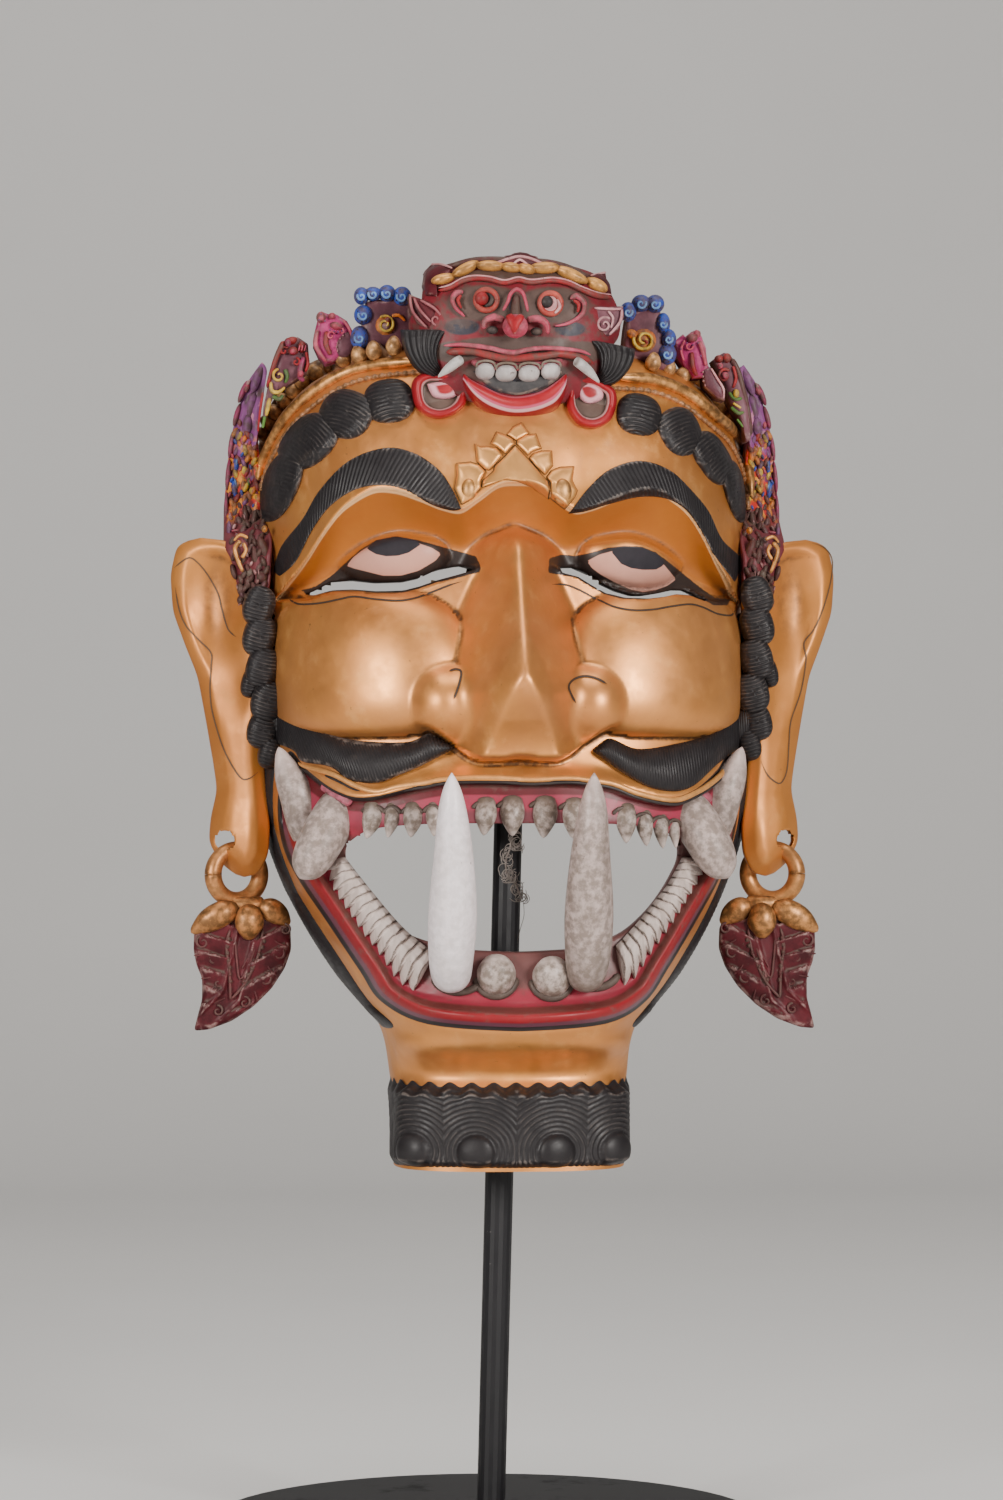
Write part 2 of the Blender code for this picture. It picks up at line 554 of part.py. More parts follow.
def ring_path(stock, sides=8, count=18):
    """The earring's hoop, turned a little about its upright."""
    yaw = math.radians(RING_YAW)
    rings = []
    for a in np.linspace(0, math.tau, count, endpoint=False):
        way = np.array((math.cos(a) * math.cos(yaw), math.cos(a) * math.sin(yaw), math.sin(a)))
        normal = np.array((-math.sin(yaw), math.cos(yaw), 0))
        turns = np.linspace(0, math.tau, sides, endpoint=False)
        rings.append([np.array(RING_AT) + way * (RING_RADIUS + stock * math.cos(b)) + normal * stock * math.sin(b)
                      for b in turns])
    points = [p for ring in rings for p in ring]
    faces = []
    for i in range(count):
        after = (i + 1) % count
        for j in range(sides):
            k = (j + 1) % sides
            faces.append((i * sides + j, i * sides + k, after * sides + k, after * sides + j))
    return points, faces


def clear_scene():
    for old in list(bpy.data.objects):
        bpy.data.objects.remove(old)


def cylinder(radius, low, high, sides, edge=0.0):
    """An upright round bar about the frame's Z axis, in the part's millimetres."""
    stops = [(radius - edge, low), (radius, low + edge), (radius, high - edge), (radius - edge, high)]
    if not edge:
        stops = [(radius, low), (radius, high)]
    rings = [[(r * math.cos(a), r * math.sin(a), z) for a in np.linspace(0, math.tau, sides, endpoint=False)]
             for r, z in stops]
    return loft(rings)


def to_mask(body):
    """A body given in the part's millimetres, told in the mask's."""
    points, faces = body
    return [(x - MASK_SHIFT, MASK_BACK - y, z - FOOT_THICKNESS - MASK_LIFT) for x, y, z in points], faces


def main():
    clear_scene()
    gilt = paint("gilded_wood", (0.62, 0.40, 0.16), 0.3, 0.45)
    bone = paint("white_paint", (0.80, 0.77, 0.70), 0.0, 0.4)
    aged = paint("grey_paint", (0.42, 0.39, 0.35), 0.0, 0.5)
    maroon = paint("maroon_paint", (0.20, 0.05, 0.05), 0.0, 0.5)
    iron = paint("black_iron", (0.03, 0.03, 0.03), 0.6, 0.5)

    # Shell with its mouth and eye slits
    mask = build("mask", [shell()], gilt)
    mouth = closed_line(OPENING)[::2]
    window = build("mouth_window", [through(mouth)], None, True)
    carve(mask, window)
    xs = np.linspace(*SLIT_ENDS, 9)
    tall = SLIT_HEIGHT / 2 * np.clip(3 * np.sin(np.linspace(0, math.pi, 9)), 0.15, 1)
    mid = smooth(SLIT, xs)
    slot = list(zip(xs, mid + tall)) + list(zip(xs[::-1], (mid - tall)[::-1]))
    slits = build("eye_slits", both(through(slot)), None, True)
    carve(mask, slits)
    settle(mask)

    # Everything carved in one with it
    relief = build("relief", both(ear()) + kala() + crown() + hair() + small_teeth(), None)
    joined = bmesh.new()
    joined.from_mesh(mask.data)
    joined.from_mesh(relief.data)
    joined.to_mesh(mask.data)
    joined.free()
    bpy.data.objects.remove(relief)
    grain = mask.modifiers.new("grain", "REMESH")
    grain.mode = "VOXEL"
    grain.voxel_size = SOLID_SIZE * MM
    soft = mask.modifiers.new("soft", "SMOOTH")
    soft.factor = 0.5
    soft.iterations = 3
    facets = mask.modifiers.new("facets", "DECIMATE")
    facets.ratio = SOLID_SHARE
    settle(mask)
    largest_piece(mask)
    mask.data.materials.clear()
    mask.data.materials.append(gilt)

    # Inserted teeth and their sockets
    for side, word in ((-1, "left"), (1, "right")):
        long_paint = bone if side < 0 else aged
        for name, stops, colour in (("long_fang", LONG_FANG, long_paint), ("lower_tusk", LOWER_TUSK, aged),
                                    ("upper_tusk", UPPER_TUSK, aged)):
            tooth, socket = inserted(f"{word}_{name}", stops, colour, side)
            carve(mask, socket)

    # Pierced lobes and the rings through them
    x, h = EAR_HOLE
    turns = np.linspace(0, math.tau, 10, endpoint=False)
    hole = through([(x + EAR_HOLE_RADIUS * math.cos(a), h + EAR_HOLE_RADIUS * math.sin(a)) for a in turns])
    carve(mask, build("lobe_holes", both(hole), None, True))
    carve(mask, build("ring_room", both(ring_path(RING_STOCK + FIT)), None, True))
    for side, word in ((-1, "left"), (1, "right")):
        turn = mirrored if side < 0 else (lambda body: body)
        earring = build(f"{word}_earring", [turn(ring_path(RING_STOCK))], maroon)
        for number, body in enumerate(pendant()):
            carve(earring, build(f"{word}_pendant_{number}", [turn(body)], None, True), "UNION")

    # Stand
    foot = build("stand_foot", [to_mask(cylinder(FOOT_RADIUS, 0, FOOT_THICKNESS, 60, FOOT_EDGE))], iron)
    rod = build("stand_rod", [rod_body(0.0)], iron)
    carve(rod, build("cradle_wire", [cradle(0.0)], None, True), "UNION")
    carve(foot, build("rod_hole", [rod_body(FIT)], None, True))
    carve(mask, build("cradle_sockets", [cradle(FIT)], None, True))


def rod_body(extra):
    """The leaning rod, from its seat in the foot to the level of the cradle."""
    low = FOOT_THICKNESS - ROD_SEAT - extra
    high = FOOT_THICKNESS + MASK_LIFT + CRADLE_HEIGHT
    shift = math.tan(math.radians(ROD_LEAN))
    start = MASK_SHIFT - shift * (FOOT_THICKNESS + MASK_LIFT + PASSING_HEIGHT)
    rings = [[(start + shift * z + (ROD_RADIUS + extra) * math.cos(a),
               MASK_BACK - ROD_DEPTH + (ROD_RADIUS + extra) * math.sin(a), z)
              for a in np.linspace(0, math.tau, 20, endpoint=False)] for z in (low, high)]
    return to_mask(loft(rings))


def cradle(extra):
    """A wire across the rod's top whose bent ends sit in the back of the forehead."""
    level = CRADLE_HEIGHT - 4
    stops = [(-CRADLE_SPAN, CRADLE_TIP, level + 8), (-CRADLE_SPAN, 50, level + 4),
             (-CRADLE_SPAN + 4, 38, level + 1), (-12, ROD_DEPTH, level), (0, ROD_DEPTH, level)]
    stops += [(-x, d, h) for x, d, h in stops[-2::-1]]
    path, _ = bent([(*p, 0) for p in stops], 17)
    return tube(path, [CRADLE_WIRE + extra] * 17, 8)


def pendant():
    """Calyx and curling leaf that hang from the ring."""
    def front(x, h):
        return LEAF_FRONT + 1.5 * math.cos((x - 86) / 9)

    cx = RING_AT[0]
    leaf = plate(LEAF, lambda x, h: LEAF_BACK, front)
    rib = tube([(84, 35.5, 76), (83, 36.5, 66), (87, 36, 55), (95, 34.5, 43)], [2.4, 2.2, 1.8, 0.8], 8)
    cup = ball((cx - 0.5, 32.8, 83.5), (9, 5, 5.5), segments=12)
    lobes = [tube([(cx, 34, 84), (cx + 8, 36.5, 80.5), (cx + 14.2, 36, 75.8)], [4.4, 3.4, 0.9], 8),
             tube([(cx - 1, 34, 84), (cx - 9, 36.5, 82), (cx - 15.6, 36, 79.2)], [4.4, 3.4, 0.9], 8),
             tube([(cx, 35, 84), (cx - 1, 37.5, 79), (cx - 2.5, 37.2, 74)], [4.2, 3.4, 0.9], 8)]
    scroll = spiral((91.5, 35.6, 64), 4.2, 1.4, 1.1, 5, 9)
    return [leaf, rib, cup, *lobes, scroll]


main()
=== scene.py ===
"""A carved and gilded dance mask of a tusked giant on its rod and foot: the dressed model."""

import math

import bpy
import numpy as np
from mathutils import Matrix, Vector


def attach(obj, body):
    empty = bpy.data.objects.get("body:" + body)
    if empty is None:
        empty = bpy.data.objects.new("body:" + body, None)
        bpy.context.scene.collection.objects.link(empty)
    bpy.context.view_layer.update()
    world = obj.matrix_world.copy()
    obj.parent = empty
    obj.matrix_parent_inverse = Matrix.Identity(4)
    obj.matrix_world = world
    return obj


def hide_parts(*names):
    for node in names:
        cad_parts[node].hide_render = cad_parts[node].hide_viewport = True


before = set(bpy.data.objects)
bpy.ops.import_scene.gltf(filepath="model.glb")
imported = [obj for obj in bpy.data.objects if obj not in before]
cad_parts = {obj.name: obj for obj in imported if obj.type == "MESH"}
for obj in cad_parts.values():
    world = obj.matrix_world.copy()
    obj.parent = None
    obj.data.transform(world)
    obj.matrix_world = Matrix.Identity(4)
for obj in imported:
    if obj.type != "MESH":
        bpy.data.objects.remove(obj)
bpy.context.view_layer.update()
MM = 0.001
RANDOM = np.random.default_rng(7)

# The camera that took the photograph, in millimetres, and its picture's size in pixels
EYE_DISTANCE = 1500.0
EYE_TURN = math.radians(-4)
EYE_AIM = (4.8, 0.0, 259.0)
FOCAL = 4615.0
PICTURE = (1003, 1500)
PIXEL = 0.315  # millimetres in a pixel of the photograph at the crown's depth
PIXEL_AHEAD = 0.31  # and a little nearer to the camera

# Mask to part: x to the right, d forward from the back rim, h up from the beard
MASK_SHIFT = 6.0
MASK_BACK = 30.0
MASK_RISE = 126.0

# Shell of the mask
WIDTHS = [(0, 37), (28, 38), (46, 42), (62, 55), (88, 70), (112, 78), (140, 79), (175, 80), (205, 81),
          (228, 79), (245, 71), (255, 59), (262, 42), (268, 14)]
FRONTS = [(0, 74), (26, 76), (36, 78), (46, 89), (62, 91), (90, 89), (115, 88), (135, 84), (160, 80),
          (190, 77), (212, 80), (232, 80), (246, 74), (257, 64), (268, 48)]
RIMS = [(0, 44), (30, 40), (50, 28), (75, 14), (105, 4), (130, 0), (240, 0), (268, 16)]
ROUNDNESS = 2.7
SHELL_TOP = 268
WALL = 7  # at the sides
NARROW_SHARE = 0.6  # of the shell's half width that the hollow keeps where the shell is narrow
FRONT_WALL = 17  # behind the face, where the carving is deepest
SLIT_DEPTH = 68  # of the eye slits, for placing them

# Face
CREST = [(0, 217.1), (6, 216.4), (12, 212.2), (17.8, 208.5), (23, 209.3), (30.3, 212.1), (38, 214.7),
         (44.4, 215), (50, 212.4), (55.3, 208.3), (60.7, 201.1), (65, 194.2), (69.4, 188.3), (78, 180)]
LID = [(0, 204), (8, 201.5), (14, 197.6), (26, 199), (38, 199.8), (48, 196), (58, 189), (70, 184.5),
       (80, 180)]
SLIT = [(10, 191.5), (20, 188), (28, 185.5), (38, 183), (50, 183.2), (58, 183.2), (66, 181)]
BROW_OUT = 8.0
SOCKET_IN = 8.0
EYE_AT = (38.0, 194.0)
EYE_SIZE = (17.5, 10.0, 9.0)
CHEEK_AT = (47.0, 154.5)
CHEEK_SIZE = (34.0, 30.0, 17.5, 15.0)  # half width, height above and below, depth
NOSE_RIDGE = [(131, 104), (157, 121), (163, 117), (175, 106), (190, 94), (200, 84), (205, 70)]
NOSE_TIP_HEIGHT = 157.0
NOSE_LIMIT = 112  # depth past which the tip is pressed back
NOSE_FACET = 10.5
NOSE_SLOPE = 1.65
NOSE_FOOT = [(0, 131.5), (14, 131.5), (31, 141)]
WING_AT = (23.0, 147.5)
WING_SIZE = (12.0, 13.0, 16.0)
LIP_LINE = [(0, 123.3), (24.5, 123.1), (46, 118.3), (56, 120), (65, 126.5), (71, 132.5), (74.2, 118),
            (73, 104), (68.2, 92.5), (59, 78.5), (49, 63.5), (42, 53.5), (28, 47.2), (0, 45.3)]
OPENING = [(0, 110), (24, 110), (40, 109), (47, 107.5), (51, 105), (53, 102.5), (53, 98), (51, 93.5),
           (47.5, 88), (42, 81.5), (34.5, 75.5), (27, 72.5), (18, 70.3), (0, 69.4)]
LIP_ROLL = 2.6
GUM_IN = 5.0
EYE_PAINT_END = 34  # depth behind which the shell's sides take no eye paint


# Curves, distances and depths

def smooth(stops, at):
    """The value at a place of the smooth curve through (place, value) stops."""
    places, values = np.array(stops, float).T
    slopes = np.gradient(values, places)
    slopes[0] = slopes[-1] = 0
    at = np.clip(at, places[0], places[-1])
    i = np.clip(np.searchsorted(places, at) - 1, 0, len(places) - 2)
    gap = places[i + 1] - places[i]
    t = (at - places[i]) / gap
    ease = t * t * (3 - 2 * t)
    lean = gap * t * (1 - t) * ((1 - t) * slopes[i] - t * slopes[i + 1])
    return values[i] * (1 - ease) + values[i + 1] * ease + lean


def step(low, high, at):
    """0 before low, 1 after high and an eased rise between."""
    t = np.clip((at - low) / (high - low), 0, 1)
    return t * t * (3 - 2 * t)


def merge(a, b, blend):
    """The larger of two depths, rounded where they cross."""
    t = np.clip(0.5 + 0.5 * (a - b) / blend, 0, 1)
    return b * (1 - t) + a * t + blend * t * (1 - t)


def dome(u, v, power=2.4):
    """Height of a rounded hump over the unit disc, from 1 at the middle to 0 at the edge."""
    return np.clip(1 - np.abs(u) ** power - np.abs(v) ** power, 0, 1) ** (1 / power)


def along(stops, count):
    """Points spaced evenly along the smooth curve through the stops, which may have any number of columns."""
    stops = np.array(stops, float)
    places = np.arange(len(stops))
    fine = np.linspace(0, len(stops) - 1, 24 * len(stops))
    curve = np.stack([smooth(np.stack([places, stops[:, k]], 1), fine) for k in range(stops.shape[1])], 1)
    run = np.concatenate([[0], np.cumsum(np.linalg.norm(np.diff(curve[:, :3], axis=0), axis=1))])
    even = np.linspace(0, run[-1], count)
    return np.stack([np.interp(even, run, curve[:, k]) for k in range(curve.shape[1])], 1)


def closed_line(stops, per_stop=6):
    """A closed outline: the smooth curve through the stops of its right half, mirrored to the left."""
    places = np.arange(len(stops))
    fine = np.linspace(0, len(stops) - 1, (len(stops) - 1) * per_stop + 1)
    xs = smooth(list(zip(places, [p[0] for p in stops])), fine)
    hs = smooth(list(zip(places, [p[1] for p in stops])), fine)
    right = np.stack([xs, hs], 1)
    return np.concatenate([right, right[-2:0:-1] * (-1, 1)])


def distance(outline, x, h, closed=True):
    """Distance from points to an outline; negative inside a closed one."""
    shape = np.shape(x)
    points = np.stack([np.ravel(x), np.ravel(h)], 1)
    outline = np.array(outline, float)
    nearest = np.full(len(points), 1e9)
    inside = np.zeros(len(points), bool)
    ends = np.roll(outline, -1, 0) if closed else outline[1:]
    for a, b in zip(outline, ends):
        edge, reach = b - a, points - a
        t = np.clip(reach @ edge / max(edge @ edge, 1e-9), 0, 1)
        nearest = np.minimum(nearest, np.hypot(*(reach - t[:, None] * edge).T))
        if closed and a[1] != b[1]:
            crosses = (a[1] > points[:, 1]) != (b[1] > points[:, 1])
            inside ^= crosses & (points[:, 0] < a[0] + (points[:, 1] - a[1]) * edge[0] / edge[1])
    return np.where(inside, -nearest, nearest).reshape(shape)


def base_depth(x, h):
    """Depth of the plain rounded shell, before any carving."""
    width, front, rim = smooth(WIDTHS, h), smooth(FRONTS, h), smooth(RIMS, h)
    across = np.clip(np.abs(x) / width, 0, 1)
    return rim + (front - rim) * (1 - across ** ROUNDNESS) ** (1 / ROUNDNESS)


def nose_depth(x, h):
    """Depth of the nose with its wings, and 0 above and beside it."""
    ax = np.abs(x)
    flat = NOSE_FACET * np.clip((NOSE_TIP_HEIGHT - h) / (NOSE_TIP_HEIGHT - NOSE_FOOT[0][1]), 0, 1)
    ridge = smooth(NOSE_RIDGE, h) - NOSE_SLOPE * (np.hypot(np.maximum(ax - flat, 0), 1.8) - 1.8)
    wide, tall, out = WING_SIZE
    lump = dome((ax - WING_AT[0]) / wide, (h - WING_AT[1]) / tall, 2.0)
    nose = merge(ridge, np.where(lump > 0, 84 + out * lump, 0), 8.0)
    return np.where(h < NOSE_RIDGE[-1][0], nose - 9 * np.maximum(smooth(NOSE_FOOT, ax) - h, 0), 0)


def face_depth(x, h):
    """Depth of the carved face: brows, sockets, eyes, cheeks, nose, lips and chin."""
    ax = np.abs(x)
    base = base_depth(x, h)
    crest, lid, slit = smooth(CREST, ax), smooth(LID, ax), smooth(SLIT, ax)
    fall = np.clip((crest - h) / np.maximum(crest - lid, 0.5), 0, 1)
    brow = BROW_OUT * np.exp(-np.maximum(h - crest, 0) / 14)
    brow -= (BROW_OUT + SOCKET_IN) * (1 - (1 - fall) ** 1.5)
    brow += (SOCKET_IN + 0.5) * step(slit - 1.2, slit + 0.6, 2 * slit - h)
    brow *= 1 - step(70, 79, ax)
    depth = base + brow
    wide, tall, out = EYE_SIZE
    eye = dome((ax - EYE_AT[0]) / wide, (h - EYE_AT[1]) / tall, 2.0)
    depth += out * eye * (1 - step(lid - 1, lid + 3, h)) * step(slit, slit + 3, h)
    wide, above, below, out = CHEEK_SIZE
    tall = np.where(h > CHEEK_AT[1], above, below)
    cheek = base - 2 + (out + 2) * dome((ax - CHEEK_AT[0]) / wide, (h - CHEEK_AT[1]) / tall, 2.6)
    depth = merge(depth, np.where(h < slit - 0.5, cheek, 0), 7.0)
    depth = merge(depth, nose_depth(x, h), 3.0)
    depth += 5 * np.exp(-((h - 40) / 4.0) ** 2) * (1 - step(34, 46, ax))
    depth -= 3 * np.exp(-((h - 30) / 4.0) ** 2)
    inward = -distance(LIPS, x, h)
    lower = 1 - step(100, 112, h)
    depth += 2.0 * np.exp(-(np.minimum(inward, 0) / 3) ** 2) * step(-9, -3, inward)
    depth += LIP_ROLL * lower * np.sin(np.pi * np.clip((inward - 1) / 6, 0, 1))
    depth -= GUM_IN * (1 - lower) * step(0, 2, inward)
    depth -= GUM_IN * lower * step(5, 9, inward) + 0.35 * lower * np.maximum(inward - 6, 0)
    return depth


LIPS = closed_line(LIP_LINE)
MOUTH = closed_line(OPENING)


def to_frame(points):
    """Points of the mask (x, d, h in millimetres) in the part's frame, in metres."""
    x, d, h = np.asarray(points, float).reshape(-1, 3).T
    return np.stack([x + MASK_SHIFT, MASK_BACK - d, MASK_RISE + h], 1) * MM


def seen_at(x, d, h):
    """Where the photograph shows a point of the mask, in its pixels."""
    side, deep = x + MASK_SHIFT - EYE_AIM[0], MASK_BACK - d
    u = side * math.cos(EYE_TURN) + deep * math.sin(EYE_TURN)
    w = EYE_DISTANCE - side * math.sin(EYE_TURN) + deep * math.cos(EYE_TURN)
    return PICTURE[0] / 2 + u / w * FOCAL, PICTURE[1] / 2 - (MASK_RISE + h - EYE_AIM[2]) / w * FOCAL


def spot(px, v, d):
    """The (x, h) of the point at depth d that the photograph shows at a pixel."""
    deep, k = MASK_BACK - d, (px - PICTURE[0] / 2) / FOCAL
    c, s = math.cos(EYE_TURN), math.sin(EYE_TURN)
    side = (k * (EYE_DISTANCE + deep * c) - deep * s) / (c + k * s)
    w = EYE_DISTANCE - side * s + deep * c
    return side + EYE_AIM[0] - MASK_SHIFT, EYE_AIM[2] + (PICTURE[1] / 2 - v) * w / FOCAL - MASK_RISE


def on_face(pixels, surface=face_depth, lift=0.0):
    """Points of the face that the photograph shows at these pixels."""
    px, v = np.array(pixels, float).T
    d = np.full(len(px), 78.0)
    for _ in range(14):
        x, h = spot(px, v, d)
        d = 0.5 * d + 0.5 * surface(x, h)
    x, h = spot(px, v, d)
    return np.stack([x, d + lift, h], 1)


# Meshes

def grid(rows, cols, wrap=False):
    """Faces of a rows by cols grid of points, closed across its columns if wrap is set."""
    r, c = np.meshgrid(np.arange(rows - 1), np.arange(cols if wrap else cols - 1), indexing="ij")
    n = (c + 1) % cols
    return np.stack([r * cols + c, r * cols + n, (r + 1) * cols + n, (r + 1) * cols + c], -1).reshape(-1, 4)


def make(name, points, faces, material, node="mask", fields=None, flat=False):
    """A piece that rides on the part and stands for one of its nodes; its points are in the mask's place."""
    mesh = bpy.data.meshes.new(name)
    mesh.from_pydata(to_frame(points).tolist(), [], [tuple(int(i) for i in f) for f in faces])
    mesh.update()
    for key, values in (fields or {}).items():
        stored = mesh.attributes.new(key, "FLOAT", "POINT")
        stored.data.foreach_set("value", np.asarray(values, np.float32).ravel())
    mesh.polygons.foreach_set("use_smooth", [not flat] * len(mesh.polygons))
    made = bpy.data.objects.new(name, mesh)
    bpy.context.scene.collection.objects.link(made)
    mesh.materials.append(material)
    add_hollows(mesh)
    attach(made, "root")
    if node:
        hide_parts(node)
    return made


def add_hollows(mesh, passes=6):
    """Stores how deep each point lies in a hollow, in tenths of a millimetre; negative on an edge."""
    count = len(mesh.vertices)
    at = np.empty(count * 3, np.float32)
    mesh.vertices.foreach_get("co", at)
    at = at.reshape(-1, 3)
    ends = np.empty(len(mesh.edges) * 2, np.int32)
    mesh.edges.foreach_get("vertices", ends)
    a, b = ends.reshape(-1, 2).T
    share = np.maximum(np.bincount(a, minlength=count) + np.bincount(b, minlength=count), 1)[:, None]
    soft = at
    for _ in range(passes):
        total = np.stack([np.bincount(a, soft[b, k], count) + np.bincount(b, soft[a, k], count)
                          for k in range(3)], 1)
        soft = 0.5 * soft + 0.5 * total / share
    normal = np.empty(count * 3, np.float32)
    mesh.vertices.foreach_get("normal", normal)
    depth = ((soft - at) * normal.reshape(-1, 3)).sum(1) / (0.1 * MM)
    mesh.attributes.new("hollow", "FLOAT", "POINT").data.foreach_set("value", depth.astype(np.float32))


def join(bodies):
    """One list of points and faces from several."""
    points, faces, at = [], [], 0
    for body_points, body_faces in bodies:
        points.append(np.asarray(body_points, float).reshape(-1, 3))
        faces += [tuple(int(i) + at for i in f) for f in body_faces]
        at += len(points[-1])
    return np.concatenate(points), faces


def mirrored(body):
    """The same body on the other side of the mask."""
    points, faces = body
    return np.asarray(points, float) * (-1, 1, 1), [tuple(f)[::-1] for f in faces]


def both(body):
    return join([body, mirrored(body)])


def capped(rings):
    """A closed skin over rings of equally many points."""
    rings = np.asarray(rings, float)
    rows, cols = rings.shape[:2]
    middles = [rings[0].mean(0), rings[-1].mean(0)]
    faces = [tuple(f) for f in grid(rows, cols, True)]
    faces += [(rows * cols, (i + 1) % cols, i) for i in range(cols)]
    last = (rows - 1) * cols
    faces += [(rows * cols + 1, last + i, last + (i + 1) % cols) for i in range(cols)]
    return np.concatenate([rings.reshape(-1, 3), middles]), faces


def tube(stops, count=32, sides=14, flat=1.0, round_ends=True):
    """A tapering bar along the smooth curve through (x, d, h, radius) stops; flat scales its depth."""
    curve = along(stops, count)
    path, radii = curve[:, :3], curve[:, 3]
    if round_ends:
        run = np.linspace(0, 1, count)
        radii = radii * np.sqrt(np.clip(1 - np.clip(1 - run * 14, 0, 1) ** 2, 0.02, 1))
        radii = radii * np.sqrt(np.clip(1 - np.clip(1 - (1 - run) * 14, 0, 1) ** 2, 0.02, 1))
    way = np.gradient(path, axis=0)
    way /= np.linalg.norm(way, axis=1)[:, None]
    side = np.cross(way[0], (0, 1, 0) if abs(way[0][1]) < 0.9 else (1, 0, 0))
    turns = np.linspace(0, math.tau, sides, endpoint=False)[:, None]
    rings = []
    for at, w, radius in zip(path, way, radii):
        side = side - w * (side @ w)
        side /= np.linalg.norm(side)
        front = np.cross(w, side)
        rings.append(at + radius * (np.cos(turns) * side + flat * np.sin(turns) * front))
    return capped(rings)


def ball(at, size, tilt=0.0, segments=22):
    """An ellipsoid with radii (x, d, h), tilted in the front view by degrees."""
    t = math.radians(tilt)
    rings = []
    for up in np.linspace(-math.pi / 2 + 0.02, math.pi / 2 - 0.02, segments // 2 + 2):
        a = np.linspace(0, math.tau, segments, endpoint=False)
        x, d = size[0] * math.cos(up) * np.cos(a), size[1] * math.cos(up) * np.sin(a)
        h = size[2] * math.sin(up) + 0 * a
        rings.append(np.stack([at[0] + x * math.cos(t) + h * math.sin(t), at[1] + d,
                               at[2] - x * math.sin(t) + h * math.cos(t)], 1))
    return capped(rings)


def coil(at, radius, stock, turns=1.6, hand=1, rise=2.2, start=0.0, count=60, sides=10):
    """A coil lying in the front view, rising toward its middle."""
    t = np.linspace(0, 1, count)
    reach, turn = radius * (1 - 0.88 * t), start + hand * math.tau * turns * t
    stops = np.stack([at[0] + reach * np.cos(turn), at[1] + rise * t, at[2] + reach * np.sin(turn),
                      stock * (1 - 0.35 * t)], 1)
    return tube(stops[::2], count, sides)


def strip(upper, lower, depth, rise, groove, pitch, lean, cols=220, rows=44, sink=0.6, phase=None):
    """A raised lock of hair between two lines of points on the face, with fine grooves cut in it.

    rise is its height at the middle, groove the grooves' depth, pitch their spacing, and lean the share of
    the length that a groove runs for each share of the width.
    """
    top, foot = along(upper, cols), along(lower, cols)
    v = np.linspace(0, 1, rows)[:, None]
    x = foot[:, 0] * (1 - v) + top[:, 0] * v
    h = foot[:, 1] * (1 - v) + top[:, 1] * v
    d = depth(x, h)
    width = np.hypot(*(top - foot)[:, :2].T) * v
    run = np.concatenate([[0], np.cumsum(np.hypot(*np.diff((top + foot)[:, :2] / 2, axis=0).T))])
    turn = (run * lean[0] + width * lean[1]) / pitch if phase is None else phase(x, h, run, v) / pitch
    cut = groove * np.abs(np.sin(math.pi * turn)) ** 0.7
    ends = np.clip(np.minimum(run, run[-1] - run) / 2.5, 0, 1) ** 0.5
    swell = np.clip(np.sin(math.pi * np.clip(v, 0.0, 1)), 0, 1) ** 0.45 * ends
    d = d + rise * swell + cut * step(0, 0.5, swell) - sink * (1 - step(0, 0.4, swell))
    return np.stack([x, d, h], -1).reshape(-1, 3), grid(rows, cols)


# Materials

# Brown of the dark specks, and of the soiling and painted shade in hollows
SOIL_AND_SHADE_BROWN = (0.075, 0.05, 0.04)

